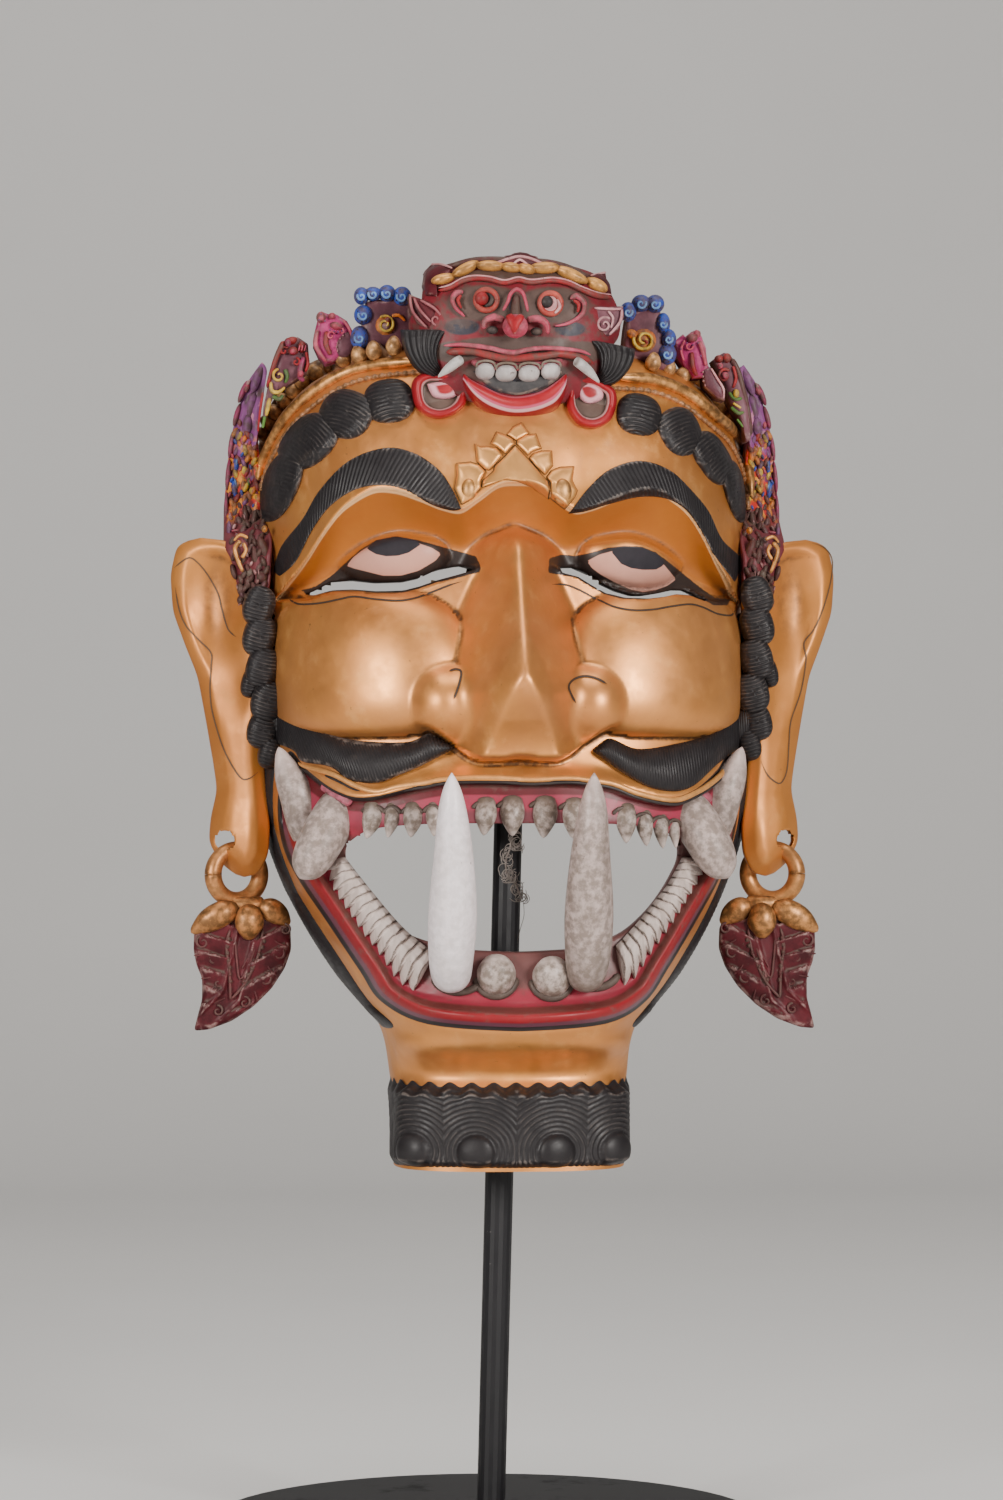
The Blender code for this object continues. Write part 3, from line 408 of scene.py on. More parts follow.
class Paint:
    """A short way of writing a node material."""

    def __init__(self, name):
        self.material = bpy.data.materials.new(name)
        self.material.use_nodes = True
        self.tree = self.material.node_tree
        self.shader = self.tree.nodes["Principled BSDF"]
        self.place = self.node("ShaderNodeTexCoord").outputs["Object"]

    def node(self, kind, settings=None, **inputs):
        made = self.tree.nodes.new(kind)
        for key, value in (settings or {}).items():
            setattr(made, key, value)
        for key, value in inputs.items():
            self.put(made.inputs[int(key[1:]) if key[0] == "i" and key[1:].isdigit() else key], value)
        return made

    def put(self, socket, value):
        if isinstance(value, bpy.types.NodeSocket):
            self.tree.links.new(value, socket)
        elif isinstance(value, tuple) and len(value) == 3 and socket.type == "RGBA":
            socket.default_value = (*value, 1)
        else:
            socket.default_value = value

    def noise(self, scale, detail=4.0, rough=0.6, stretch=None, warp=0.0):
        place = self.place
        if stretch:
            place = self.node("ShaderNodeMapping", Vector=place, Scale=stretch).outputs[0]
        made = self.node("ShaderNodeTexNoise", Vector=place, Scale=scale, Detail=detail, Roughness=rough,
                         Distortion=warp)
        return made.outputs["Fac"]

    def field(self, name):
        return self.node("ShaderNodeAttribute", {"attribute_name": name}).outputs["Fac"]

    def between(self, value, low, high, to_low=0.0, to_high=1.0):
        made = self.node("ShaderNodeMapRange", {"interpolation_type": "SMOOTHSTEP"}, i0=value, i1=low,
                         i2=high,
                         i3=to_low, i4=to_high)
        return made.outputs[0]

    def uneven(self, scale, detail, low, high):
        """A roughness that wanders between two values."""
        return self.between(self.noise(scale, detail), 0.3, 0.7, low, high)

    def math(self, operation, a, b=0.0):
        return self.node("ShaderNodeMath", {"operation": operation}, i0=a, i1=b).outputs[0]

    def times(self, a, b):
        return self.math("MULTIPLY", a, b)

    def mix(self, a, b, share):
        made = self.node("ShaderNodeMix", {"data_type": "RGBA"}, i0=share, i6=a, i7=b)
        return made.outputs[2]

    def finish(self, colour, roughness, metallic=0.0, bumps=(), shine=0.3):
        self.put(self.shader.inputs["Base Color"], colour)
        self.put(self.shader.inputs["Roughness"], roughness)
        self.put(self.shader.inputs["Metallic"], metallic)
        self.shader.inputs["Specular IOR Level"].default_value = shine
        normal = None
        for height, strength, reach in bumps:
            made = self.node("ShaderNodeBump", Height=height, Strength=strength, Distance=reach)
            if normal:
                self.tree.links.new(normal, made.inputs["Normal"])
            normal = made.outputs[0]
        if normal:
            self.tree.links.new(normal, self.shader.inputs["Normal"])
        return self.material


def soiling_and_shade(p, colour, hollow_tone=(0.075, 0.055, 0.04), low=0.4, high=2.6, share=0.85):
    """Darkens the hollows, broken up by noise: partly soiling, partly painted shade in creases and bowls."""
    broken = p.between(p.noise(420, 5), 0.35, 0.62, 0.35, 1.0)
    lying = p.times(p.between(p.field("hollow"), low, high), broken)
    return p.mix(colour, hollow_tone, p.times(lying, share))


def gold_tones(p):
    """Colour, roughness and metal of worn gold leaf over tan ground."""
    wide, fine = p.noise(16, 5, 0.65, warp=0.4), p.noise(95, 6, 0.7)
    tone = p.mix((0.74, 0.31, 0.068), (0.53, 0.195, 0.042), p.between(wide, 0.35, 0.68))
    tone = p.mix(tone, (0.86, 0.47, 0.15), p.times(p.between(fine, 0.52, 0.72), 0.4))
    specks = p.between(p.noise(520, 3, 0.55), 0.70, 0.76)
    tone = p.mix(tone, (0.12, 0.06, 0.025), p.times(specks, 0.6))
    worn = p.between(p.noise(34, 6, 0.72, warp=0.6), 0.60, 0.74)
    tone = p.mix(tone, (0.42, 0.17, 0.07), p.times(worn, 0.5))
    metal = p.between(worn, 0, 1, 0.76, 0.35)
    rough = p.between(fine, 0.3, 0.7, 0.36, 0.50)
    return tone, rough, metal


def gold(name, tint=None, share=0.0, metal_share=1.0):
    """Worn gilding, tinted where a tint is given."""
    p = Paint(name)
    tone, rough, metal = gold_tones(p)
    if tint:
        tone = p.mix(tone, tint, share)
    tone = soiling_and_shade(p, tone, (0.10, 0.05, 0.02))
    metal = p.times(metal, metal_share)
    return p.finish(tone, rough, metal, [(p.noise(120, 5), 0.12, 0.0004), (p.noise(700, 3), 0.06, 0.0002)])


def black_hair(name="black_hair"):
    """Black paint with worn edges and a little dust."""
    p = Paint(name)
    tone = p.mix((0.007, 0.006, 0.007), (0.02, 0.017, 0.018), p.noise(260, 5))
    edges = p.times(p.between(p.field("hollow"), -0.5, -2.2), p.between(p.noise(300, 4), 0.4, 0.6))
    tone = p.mix(tone, (0.12, 0.10, 0.09), p.times(edges, 0.8))
    dust = p.between(p.noise(90, 6, 0.75), 0.58, 0.75)
    tone = p.mix(tone, (0.10, 0.07, 0.05), p.times(dust, 0.15))
    return p.finish(tone, p.uneven(200, 3, 0.38, 0.56), 0.0, [(p.noise(900, 3), 0.15, 0.0002)], 0.25)


def paint(name, deep, light, rough=0.45, wear=(0.30, 0.22, 0.17), wear_share=0.5,
          specks=0.4):
    """Old paint: two tones, pale wear on the edges, hollows darkened by soiling and painted shade, and dark
    specks.
    """
    p = Paint(name)
    tone = p.mix(deep, light, p.between(p.noise(150, 5, 0.65), 0.32, 0.68))
    edges = p.times(p.between(p.field("hollow"), -0.6, -3.0), p.between(p.noise(330, 4), 0.42, 0.62))
    tone = p.mix(tone, wear, p.times(edges, wear_share))
    spots = p.between(p.noise(640, 3, 0.6), 0.66, 0.73)
    tone = p.mix(tone, SOIL_AND_SHADE_BROWN, p.times(spots, specks))
    tone = soiling_and_shade(p, tone, SOIL_AND_SHADE_BROWN)
    return p.finish(tone, p.uneven(220, 3, rough - 0.07, rough + 0.12), 0.0,
                    [(p.noise(500, 4), 0.12, 0.0003)], 0.18)


# Outlines read from the photograph, in its pixels

LEFT_SCLERA = [(346, 566), (353, 557), (362, 550), (376, 542), (396, 538.6), (419, 543), (432, 547.5),
               (441.6, 553.5), (435.8, 561), (419, 571), (401, 576), (382.7, 576), (366, 571.8),
               (354.5, 569)]
LEFT_IRIS = [(366, 548.6), (376, 540), (396, 536), (414, 538), (421, 544.4), (409, 552.7), (397.6, 556),
             (386, 556.4), (376, 554.4)]
# Black round each eye: partly black paint, partly painted shadow at the lids
LEFT_EYE_BLACK_AND_SHADOW = [(301, 590), (316, 586), (333, 574), (346, 562), (360, 549.5), (376, 540), (396, 536),
             (419, 540), (435, 544.5), (447, 548), (462, 552), (476, 556), (481, 566), (481, 572),
             (459, 578), (436, 583), (419, 589), (403, 593), (376, 593), (353, 590.5), (333, 591.5),
             (316, 595), (306, 595)]
LEFT_SLIT = [(306, 592), (316, 588.5), (333, 580), (353, 579), (376, 582), (403, 581.5), (419, 578),
             (436, 570), (459, 565.5), (476, 570), (459, 575), (436, 581), (419, 587), (403, 591),
             (376, 591), (353, 588.5), (333, 589.2), (316, 593.4)]
RIGHT_SCLERA = [(586.5, 561), (599, 554.3), (612, 550.7), (624, 549.2), (641.5, 550), (656, 556.5),
                (665, 565.3), (676.7, 579.3), (667.9, 585.9), (656, 590.3), (643, 592.5), (629.8, 589.6),
                (615, 583), (600.4, 574.9), (591.6, 568.3)]
RIGHT_IRIS = [(612, 552.9), (612, 546), (624, 544), (641.5, 545), (656, 550), (665, 563), (662.8, 566),
              (656, 569.8), (643, 570), (631, 568.3), (621, 563.9)]
RIGHT_EYE_BLACK_AND_SHADOW = [(549, 558), (562, 554), (574, 555.8), (588.7, 552.9), (606.3, 547.7), (623.9, 545.5),
              (641.5, 546.3), (656, 552), (667.9, 561), (684, 574), (698.7, 585.9), (714.8, 597.6),
              (731, 599), (728, 605.7), (713.4, 605.7), (706, 601.3), (688.4, 595.4), (673.8, 594.7),
              (662, 597.6), (644.4, 599.8), (621, 599.1), (603.3, 594), (588.7, 585.9), (575.5, 577.8),
              (557.9, 574.9), (548, 573)]
RIGHT_SLIT = [(557, 568), (572.5, 567), (588.7, 574), (600.4, 583), (616.5, 590.5), (632.7, 595),
              (644.4, 595), (662, 592), (676.7, 588.5), (688, 588.5), (697, 592), (710, 600), (706, 601.3),
              (688.4, 595.4), (673.8, 594.7), (662, 597.6), (644.4, 599.8), (621, 599.1), (603.3, 594),
              (588.7, 585.9), (575.5, 577.8), (560, 574)]


def to_mask(pixels, d=72.0):
    """The (x, h) that the photograph shows at these pixels, at one depth."""
    px, v = np.array(pixels, float).T
    return np.stack(spot(px, v, d), 1)


# The carved face

ON_EDGE = 0.01  # a point this near an outline lies on it

def evened(cols, half=80.0, deep=83.0):
    """Angles round the shell's front that space points evenly."""
    fine = np.linspace(-math.pi / 2, math.pi / 2, 6001)
    x = half * np.sign(np.sin(fine)) * np.abs(np.sin(fine)) ** (2 / ROUNDNESS)
    d = deep * np.abs(np.cos(fine)) ** (2 / ROUNDNESS)
    run = np.concatenate([[0], np.cumsum(np.hypot(np.diff(x), np.diff(d)))])
    return np.interp(np.linspace(0, run[-1], cols), run, fine)


def snapped(x, h, outlines, reach):
    """Moves points within reach of an outline onto it; gives each point's distance, negative inside."""
    gap = np.full(x.shape, 1e3)
    for outline in outlines:
        here = distance(outline, x, h)
        near = np.abs(here) < reach
        if near.any():
            nx, nh = x[near], h[near]
            for _ in range(3):
                s = distance(outline, nx, nh)
                gx = (distance(outline, nx + 0.05, nh) - s) / 0.05
                gh = (distance(outline, nx, nh + 0.05) - s) / 0.05
                size = np.maximum(gx**2 + gh**2, 0.3)
                nx, nh = nx - s * gx / size, nh - s * gh / size
            x[near], h[near] = nx, nh
            here[near] = 0
        gap = np.where(np.abs(here) < np.abs(gap), here, gap)
    return gap


def inner_width(width):
    """Half width of the hollow inside a shell of this half width."""
    return np.maximum(width - WALL, NARROW_SHARE * width)


def hollow_depth(x, h):
    """Depth of the hollow behind the face."""
    width, front, rim = smooth(WIDTHS, h), smooth(FRONTS, h), smooth(RIMS, h)
    rise = np.clip((h - 205) / 47, 0, 1)
    across = np.clip(np.abs(x) / inner_width(width), 0, 1)
    return rim + np.maximum(front - FRONT_WALL - rim,
                            4) * (1 - across ** ROUNDNESS) ** (1 / ROUNDNESS) * np.sqrt(1 - rise**2)


def walled(points, faces, gap, depth_behind, deepest):
    """Faces left after the openings, and a wall from each opening's edge back to the hollow."""
    keep = gap[faces].mean(1) > 0
    kept = faces[keep]
    ends = np.concatenate([kept[:, [0, 1]], kept[:, [1, 2]], kept[:, [2, 3]], kept[:, [3, 0]]])
    key = np.sort(ends, axis=1)
    _, index, count = np.unique(key, axis=0, return_index=True, return_counts=True)
    rims = ends[index[count == 1]]
    rims = rims[(np.abs(gap[rims]) < deepest).all(1)]
    lip, where = np.unique(rims, return_inverse=True)
    where = where.reshape(rims.shape) + len(points)
    behind = points[lip].copy()
    behind[:, 1] = depth_behind(behind[:, 0], behind[:, 2]) + 0.2
    walls = np.stack([rims[:, 1], rims[:, 0], where[:, 0], where[:, 1]], 1)
    return np.concatenate([points, behind]), np.concatenate([kept, walls]), lip


def face():
    """The gilded and painted front, open at the mouth and the eye slits."""
    cols, rows = 270, 340
    angles = evened(cols)[None, :]
    h = np.linspace(0, SHELL_TOP, rows)[:, None] + np.zeros((1, cols))
    width, front, rim = smooth(WIDTHS, h), smooth(FRONTS, h), smooth(RIMS, h)
    across = np.sign(np.sin(angles)) * np.abs(np.sin(angles)) ** (2 / ROUNDNESS)
    forward = np.abs(np.cos(angles)) ** (2 / ROUNDNESS)
    x = width * across
    slits = [to_mask(LEFT_SLIT, SLIT_DEPTH), to_mask(RIGHT_SLIT, SLIT_DEPTH)]
    x, h = x.copy(), h.copy()
    gap = snapped(x, h, [MOUTH, *slits], 0.55)
    plain = rim + (front - rim) * forward
    keep = 1 - step(0.93, 1.0, np.abs(across))
    moved = gap == 0
    d = plain + (face_depth(x, h) - base_depth(x, h)) * keep
    d[moved] = face_depth(x[moved], h[moved])
    d = np.where(d > NOSE_LIMIT, NOSE_LIMIT + 0.82 * (d - NOSE_LIMIT), d)
    points = np.stack([x, d, h], -1).reshape(-1, 3)
    points, faces, lip = walled(points, grid(rows, cols), gap.ravel(), hollow_depth, ON_EDGE)
    px, v = seen_at(*points.T)
    px[-len(lip):], v[-len(lip):] = seen_at(*points[lip].T)
    x, h = points[:, 0], points[:, 2]
    ax = np.abs(x)
    fields = {"inward": -distance(LIPS, x, h),
              "under": np.minimum(smooth(CREST, ax) - h, h - smooth(LID, ax) + 1.5),
              "crest": smooth(CREST, ax) - h}
    for key, left, right in (("dark", LEFT_EYE_BLACK_AND_SHADOW, RIGHT_EYE_BLACK_AND_SHADOW), ("sclera", LEFT_SCLERA, RIGHT_SCLERA),
                             ("iris", LEFT_IRIS, RIGHT_IRIS)):
        fields[key] = -PIXEL_AHEAD * np.minimum(distance(left, px, v), distance(right, px, v))
    fields["dark"] = np.where(points[:, 1] < EYE_PAINT_END, -1.0, fields["dark"])
    fields["side"] = ax
    fields["height"] = h
    make("face", points, faces, face_paint(), fields=fields)


def face_paint():
    """Gold, orange-brown painted shade under the brows with a painted highlight on their crest, painted eyes,
    lips and gums.
    """
    p = Paint("face_gold")
    tone, rough, metal = gold_tones(p)
    peach = p.between(p.noise(12, 4, 0.6, warp=0.5), 0.35, 0.65, 0.1, 0.5)
    tone = p.mix(tone, (0.62, 0.27, 0.11), peach)
    # Darker in the face's hollows and creases: painted shade, with some soiling
    tone = soiling_and_shade(p, tone, (0.12, 0.05, 0.02), 1.4, 5.0, 0.75)
    # Orange-brown painted shade on the brow's underside, from the crest down to the lid
    under = p.between(p.field("under"), 0.2, 1.4)
    inner = p.between(p.field("side"), 3, 16, 0.75, 1.0)
    under = p.times(under, inner)
    orange = p.mix((0.33, 0.092, 0.012), (0.42, 0.145, 0.024), p.noise(60, 5, 0.65))
    tone = p.mix(tone, orange, under)
    metal = p.times(metal, p.between(under, 0, 1, 1.0, 0.1))
    # A pale line along the brow's crest: a painted highlight where the sharp edge catches the light
    line = p.times(p.between(p.field("crest"), -0.25, 0.05), p.between(p.field("crest"), 1.7, 1.2))
    line = p.times(line, p.between(p.field("side"), 77, 74))
    tone = p.mix(tone, (0.86, 0.55, 0.27), p.times(line, 0.75))
    # Black round the eyes: partly black paint, partly painted shadow at the lids
    broken = p.math("SUBTRACT", p.times(p.noise(700, 4), 0.5), 0.25)
    dark = p.between(p.math("ADD", p.field("dark"), broken), -0.1, 0.25)
    tone = p.mix(tone, (0.022, 0.014, 0.012), dark)
    white = p.between(p.field("sclera"), 0.0, 0.25)
    tone = p.mix(tone, p.mix((0.56, 0.28, 0.21), (0.44, 0.21, 0.16), p.noise(120, 5)), white)
    iris = p.times(p.between(p.field("iris"), -0.05, 0.15), p.between(p.field("sclera"), -0.9, -0.6))
    tone = p.mix(tone, p.mix((0.008, 0.007, 0.010), (0.024, 0.020, 0.026), p.noise(300, 4)), iris)
    rough = p.math("MAXIMUM", rough, p.times(iris, 0.75))
    inward = p.field("inward")
    mouth = p.between(inward, -0.1, 0.1)
    upper = p.between(p.field("height"), 107, 111)
    red = p.mix((0.16, 0.005, 0.008), (0.26, 0.011, 0.016), p.noise(140, 5))
    brown = p.mix((0.08, 0.018, 0.016), (0.14, 0.035, 0.03), p.noise(170, 5))
    pink = p.mix((0.32, 0.022, 0.046), (0.17, 0.026, 0.034), p.noise(110, 6, 0.7))
    low = p.mix(red, brown, p.between(inward, 5.0, 5.8))
    low = p.mix(low, pink, p.between(inward, 7.0, 7.8))
    low = p.mix((0.11, 0.035, 0.055), low, p.between(inward, 2.3, 2.9))
    low = p.mix(low, (0.10, 0.065, 0.055), p.times(p.between(inward, 11.0, 14.5), 0.75))
    # Dark red under the upper lip: red paint darkened as painted shadow of its overhang; the gum deeper in is
    # darkened as painted shadow too
    high = p.mix((0.07, 0.006, 0.009), (0.12, 0.010, 0.015), p.noise(150, 5))
    high = p.mix(high, p.mix((0.34, 0.03, 0.065), (0.20, 0.024, 0.04), p.noise(120, 5)),
                 p.between(inward, 4.2, 4.9))
    high = p.mix(high, (0.10, 0.03, 0.035), p.times(p.between(inward, 8.2, 10.5), 0.8))
    flesh = p.mix(low, high, upper)
    flesh = p.mix(flesh, (0.10, 0.06, 0.05), p.times(p.between(p.noise(330, 5), 0.55, 0.70), 0.5))
    flesh = p.mix((0.016, 0.011, 0.011), flesh, p.between(inward, 1.2, 1.5))
    tone = p.mix(tone, flesh, mouth)
    tone = soiling_and_shade(p, tone, (0.06, 0.04, 0.03), 2.0, 7.0, 0.7)
    painted = p.math("MAXIMUM", p.math("MAXIMUM", dark, white), mouth)
    metal = p.times(metal, p.between(painted, 0, 1, 1.0, 0.0))
    return p.finish(tone, rough, metal, [(p.noise(120, 5), 0.10, 0.0004), (p.noise(700, 3), 0.05, 0.0002)])


def back():
    """The raw wood of the hollow and of the back rim."""
    cols, rows = 112, 190
    angles = evened(cols)[None, :]
    h = np.linspace(0, SHELL_TOP, rows)[:, None] + np.zeros((1, cols))
    across = np.sign(np.sin(angles)) * np.abs(np.sin(angles)) ** (2 / ROUNDNESS)
    x = inner_width(smooth(WIDTHS, h)) * across
    slits = [to_mask(LEFT_SLIT, SLIT_DEPTH), to_mask(RIGHT_SLIT, SLIT_DEPTH)]
    h = h.copy()
    gap = snapped(x, h, [MOUTH, *slits], 0.9)
    d = np.minimum(hollow_depth(x, h), face_depth(x, h) - np.where(np.abs(across) < 0.98, 4, 0))
    d += 0.35 * np.sin(x * 0.55 + 2.0 * np.sin(h * 0.11)) * np.cos(h * 0.31) * (np.abs(across) < 0.97)
    faces = grid(rows, cols)
    faces = faces[gap.ravel()[faces].mean(1) > 0][:, ::-1]
    points = np.stack([x, d, h], -1).reshape(-1, 3)
    rims = []
    for side in (-1, 1):
        hs = np.linspace(0, SHELL_TOP, rows)
        w, r = smooth(WIDTHS, hs), smooth(RIMS, hs)
        outer = np.stack([side * w, r, hs], 1)
        inner = np.stack([side * inner_width(w), r, hs], 1)
        middle = np.stack([side * (w + inner_width(w)) / 2, r - 0.7, hs], 1)
        turned = grid(rows, 3)
        rims.append((np.stack([outer, middle, inner], 1).reshape(-1, 3),
                     turned if side < 0 else turned[:, ::-1]))
    ends = []
    for at, up in ((0, -1), (SHELL_TOP, 1)):
        w, f, r = smooth(WIDTHS, at), smooth(FRONTS, at), smooth(RIMS, at)
        turn = np.abs(np.cos(angles[0])) ** (2 / ROUNDNESS)
        outer = np.stack([w * across[0], r + (f - r) * turn, np.full(cols, at)], 1)
        inner_x = inner_width(w) * across[0]
        inner_d = hollow_depth(inner_x, np.full(cols, float(at)))
        inner = np.stack([inner_x, inner_d, np.full(cols, at)], 1)
        turned = grid(2, cols)
        ends.append((np.stack([outer, inner]).reshape(-1, 3), turned[:, ::-1] if up < 0 else turned))
    body = join([(points, faces), *rims, ends[0]])
    make("back", *body, wood_paint())
    make("top_of_shell", *ends[1], gold("top_gilding", (0.40, 0.17, 0.06), 0.5, 0.4))


def wood_paint():
    """Raw, darkened wood with its grain."""
    p = Paint("raw_wood")
    grain = p.noise(90, 6, 0.65, stretch=(1.0, 1.0, 0.12), warp=0.8)
    tone = p.mix((0.10, 0.055, 0.028), (0.21, 0.125, 0.065), p.between(grain, 0.3, 0.7))
    tone = p.mix(tone, (0.045, 0.026, 0.015), p.between(p.noise(14, 5), 0.45, 0.7))
    tone = soiling_and_shade(p, tone, (0.03, 0.02, 0.014))
    return p.finish(tone, p.between(grain, 0.3, 0.7, 0.62, 0.82), 0.0,
                    [(grain, 0.25, 0.0008), (p.noise(60, 3), 0.3, 0.0012)])


# Inserted teeth: (x, d, h, radius) from root to tip, for the viewer's right
LONG_FANG = [(20.5, 85, 59, 5.4), (21.3, 92, 67, 6.9), (21.2, 99, 82, 7.6), (21.2, 104, 100, 6.2),
             (21.8, 107, 116, 4.1), (22.0, 108, 126, 1.0)]
LOWER_TUSK = [(60.5, 49.5, 99, 4.6), (64.6, 55.5, 108, 6.2), (67.8, 58, 118, 6.0), (71.3, 58, 126, 4.4),
              (74.2, 57, 134, 0.9)]
UPPER_TUSK = [(53.5, 62, 117.5, 6.2), (56.5, 68, 112.5, 7.0), (60, 72, 106.5, 7.2), (63.5, 74, 100, 6.6),
              (66, 74, 95.5, 5.0), (67.8, 73.5, 92.5, 1.6)]
RING_AT = (87.2, 31.5, 92.8)
RING_RADIUS = 8.3
RING_STOCK = 2.5
RING_YAW = 24.0


def tooth_paint(name, light, deep, darkening_share=0.8, rough=0.42):
    """Painted teeth: pale tips, darker toward the gum, fine specks and faint cracks along the length."""
    p = Paint(name)
    grain = p.noise(60, 5, 0.6, stretch=(6.0, 6.0, 1.0))
    tone = p.mix(light, deep, p.between(grain, 0.35, 0.75))
    root = p.math("ADD", p.field("root"), p.times(p.math("SUBTRACT", p.noise(220, 5), 0.5), 0.35))
    tone = p.mix(tone, (0.085, 0.06, 0.045), p.times(p.between(root, 0.45, 1.0), darkening_share))
    spots = p.between(p.noise(520, 3, 0.5), 0.71, 0.75)
    tone = p.mix(tone, (0.10, 0.035, 0.02), p.times(spots, 0.6))
    tone = soiling_and_shade(p, tone, (0.11, 0.08, 0.06), 0.8, 3.0, darkening_share)
    return p.finish(tone, p.between(grain, 0.3, 0.7, rough - 0.06, rough + 0.08), 0.0,
                    [(p.noise(380, 4), 0.10, 0.0003)])


def tooth(name, stops, side, material, node, count=56, sides=24):
    """One inserted fang or tusk; its root is marked for the darkening toward the gum."""
    points, faces = tube(stops, count, sides)
    length = np.concatenate([np.repeat(np.linspace(1, 0, count), sides), [1, 0]])
    if side < 0:
        points, faces = mirrored((points, faces))
    make(name, points, faces, material, node, {"root": length ** 2.2})


def inserted_teeth():
    """The two long fangs and the four tusks."""
    white = tooth_paint("white_fang", (0.84, 0.76, 0.78), (0.74, 0.66, 0.66), 0.25, 0.35)
    grey = tooth_paint("grey_tooth", (0.53, 0.42, 0.39), (0.36, 0.285, 0.26), 0.75)
    for side, word in ((-1, "left"), (1, "right")):
        tooth(f"{word}_long_fang_piece", LONG_FANG, side, white if side < 0 else grey, f"{word}_long_fang")
        tooth(f"{word}_lower_tusk_piece", LOWER_TUSK, side, grey, f"{word}_lower_tusk")
        tooth(f"{word}_upper_tusk_piece", UPPER_TUSK, side, grey, f"{word}_upper_tusk")


def stand():
    """Iron on the rod and matt black on the foot."""
    p = Paint("black_iron")
    flakes = p.between(p.noise(210, 6, 0.7), 0.66, 0.70)
    tone = p.mix((0.004, 0.004, 0.005), (0.010, 0.009, 0.011), p.noise(60, 4))
    tone = p.mix(tone, (0.16, 0.15, 0.14), p.times(flakes, 0.5))
    iron = p.finish(tone, p.uneven(90, 4, 0.38, 0.55), 0.0, [(p.noise(400, 4), 0.12, 0.0003)])
    p = Paint("matt_black")
    dust = p.between(p.noise(45, 6, 0.7), 0.5, 0.8)
    tone = p.mix((0.004, 0.004, 0.006), (0.013, 0.012, 0.014), dust)
    matt = p.finish(tone, p.between(dust, 0, 1, 0.5, 0.7), 0.0, [(p.noise(800, 3), 0.10, 0.0002)], 0.15)
    for node, material in (("stand_rod", iron), ("stand_foot", matt)):
        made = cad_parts[node]
        if made.material_slots:
            for place in made.material_slots:
                place.material = material
        else:
            made.data.materials.append(material)


def studio():
    """Camera, floor, lights and world."""
    camera = bpy.data.objects.new("camera", bpy.data.cameras.new("camera"))
    bpy.context.scene.collection.objects.link(camera)
    camera.data.sensor_fit = "VERTICAL"
    camera.data.sensor_height = 36
    camera.data.lens = 36 * FOCAL / PICTURE[1]
    camera.location = ((EYE_AIM[0] + EYE_DISTANCE * math.sin(EYE_TURN)) * MM,
                       (EYE_AIM[1] - EYE_DISTANCE * math.cos(EYE_TURN)) * MM, EYE_AIM[2] * MM)
    camera.rotation_euler = (math.pi / 2, 0, EYE_TURN)
    bpy.context.scene.camera = camera
    p = Paint("pale_floor")
    shade = p.noise(3, 4)
    floor_paint = p.finish(p.mix((0.70, 0.69, 0.68), (0.76, 0.75, 0.74), shade),
                           p.between(shade, 0, 1, 0.8, 0.9))
    profile = [(-3.0, 0.0), (1.2, 0.0)]
    profile += [(1.2 + 0.8 * math.sin(a), 0.8 - 0.8 * math.cos(a))
                for a in np.linspace(0.08, math.pi / 2, 16)]
    profile.append((2.0, 4.0))
    points = [(x, y, z) for y, z in profile for x in (-4.0, 4.0)]
    mesh = bpy.data.meshes.new("floor")
    mesh.from_pydata(points, [], [(2 * i, 2 * i + 1, 2 * i + 3,
                                   2 * i + 2) for i in range(len(profile) - 1)])
    mesh.polygons.foreach_set("use_smooth", [True] * len(mesh.polygons))
    mesh.materials.append(floor_paint)
    floor = bpy.data.objects.new("floor", mesh)
    bpy.context.scene.collection.objects.link(floor)
    aim = Vector((0.006, -0.04, 0.27))
    for name, place, size, energy in (("key_light", (0.85, -1.45, 0.62), 0.45, 34),
                                      ("fill_light", (-1.15, -1.35, 0.58), 0.45, 29),
                                      ("top_light", (0.0, -0.2, 1.7), 0.9, 15)):
        light = bpy.data.objects.new(name, bpy.data.lights.new(name, "AREA"))
        light.data.energy, light.data.size = energy, size
        light.data.color = (1.0, 0.97, 0.93)
        light.location = place
        light.rotation_euler = (aim - Vector(place)).to_track_quat("-Z", "Y").to_euler()
        bpy.context.scene.collection.objects.link(light)
    world = bpy.data.worlds.new("soft_room")
    world.use_nodes = True
    world.node_tree.nodes["Background"].inputs[0].default_value = (1.0, 1.0, 1.0, 1)
    world.node_tree.nodes["Background"].inputs[1].default_value = 0.12
    bpy.context.scene.world = world


# Hair

LEFT_BROW = ([(273, 571), (281, 546), (302, 519), (320, 489), (349, 460), (385, 447), (414, 452),
              (438, 468), (451, 486), (461, 508)], [(279, 577), (296, 562), (312, 531), (330, 507),
                                                    (354, 491), (380, 486), (406, 491), (430, 505),
                                                    (451, 511), (462, 509)])
RIGHT_BROW = ([(570, 512), (587, 489), (609, 469), (639, 460), (669, 469), (691, 489), (709, 511),
               (724, 541), (744, 560)], [(567, 514), (585, 512), (609, 505), (639, 498), (664, 499),
                                         (684, 509), (699, 528), (716, 558), (735, 584)])
LEFT_MOUSTACHE = ([(262, 690), (288, 708), (315, 725), (343, 737), (376, 741), (409, 741), (429, 733),
                   (442, 740), (455, 747)], [(270, 742), (293, 752), (301.5, 763), (323, 766), (334.6, 770),
                                             (349.5, 781), (376, 784), (401, 775), (426, 764), (455, 748)])
RIGHT_MOUSTACHE = ([(757, 690), (744, 702), (732, 716), (710, 733), (674, 743), (637, 748), (611, 738),
                    (600, 743), (592, 750)], [(752, 742), (737, 750), (717, 765), (693, 787), (674, 793),
                                              (650, 789), (631, 779), (616, 769), (592, 751)])
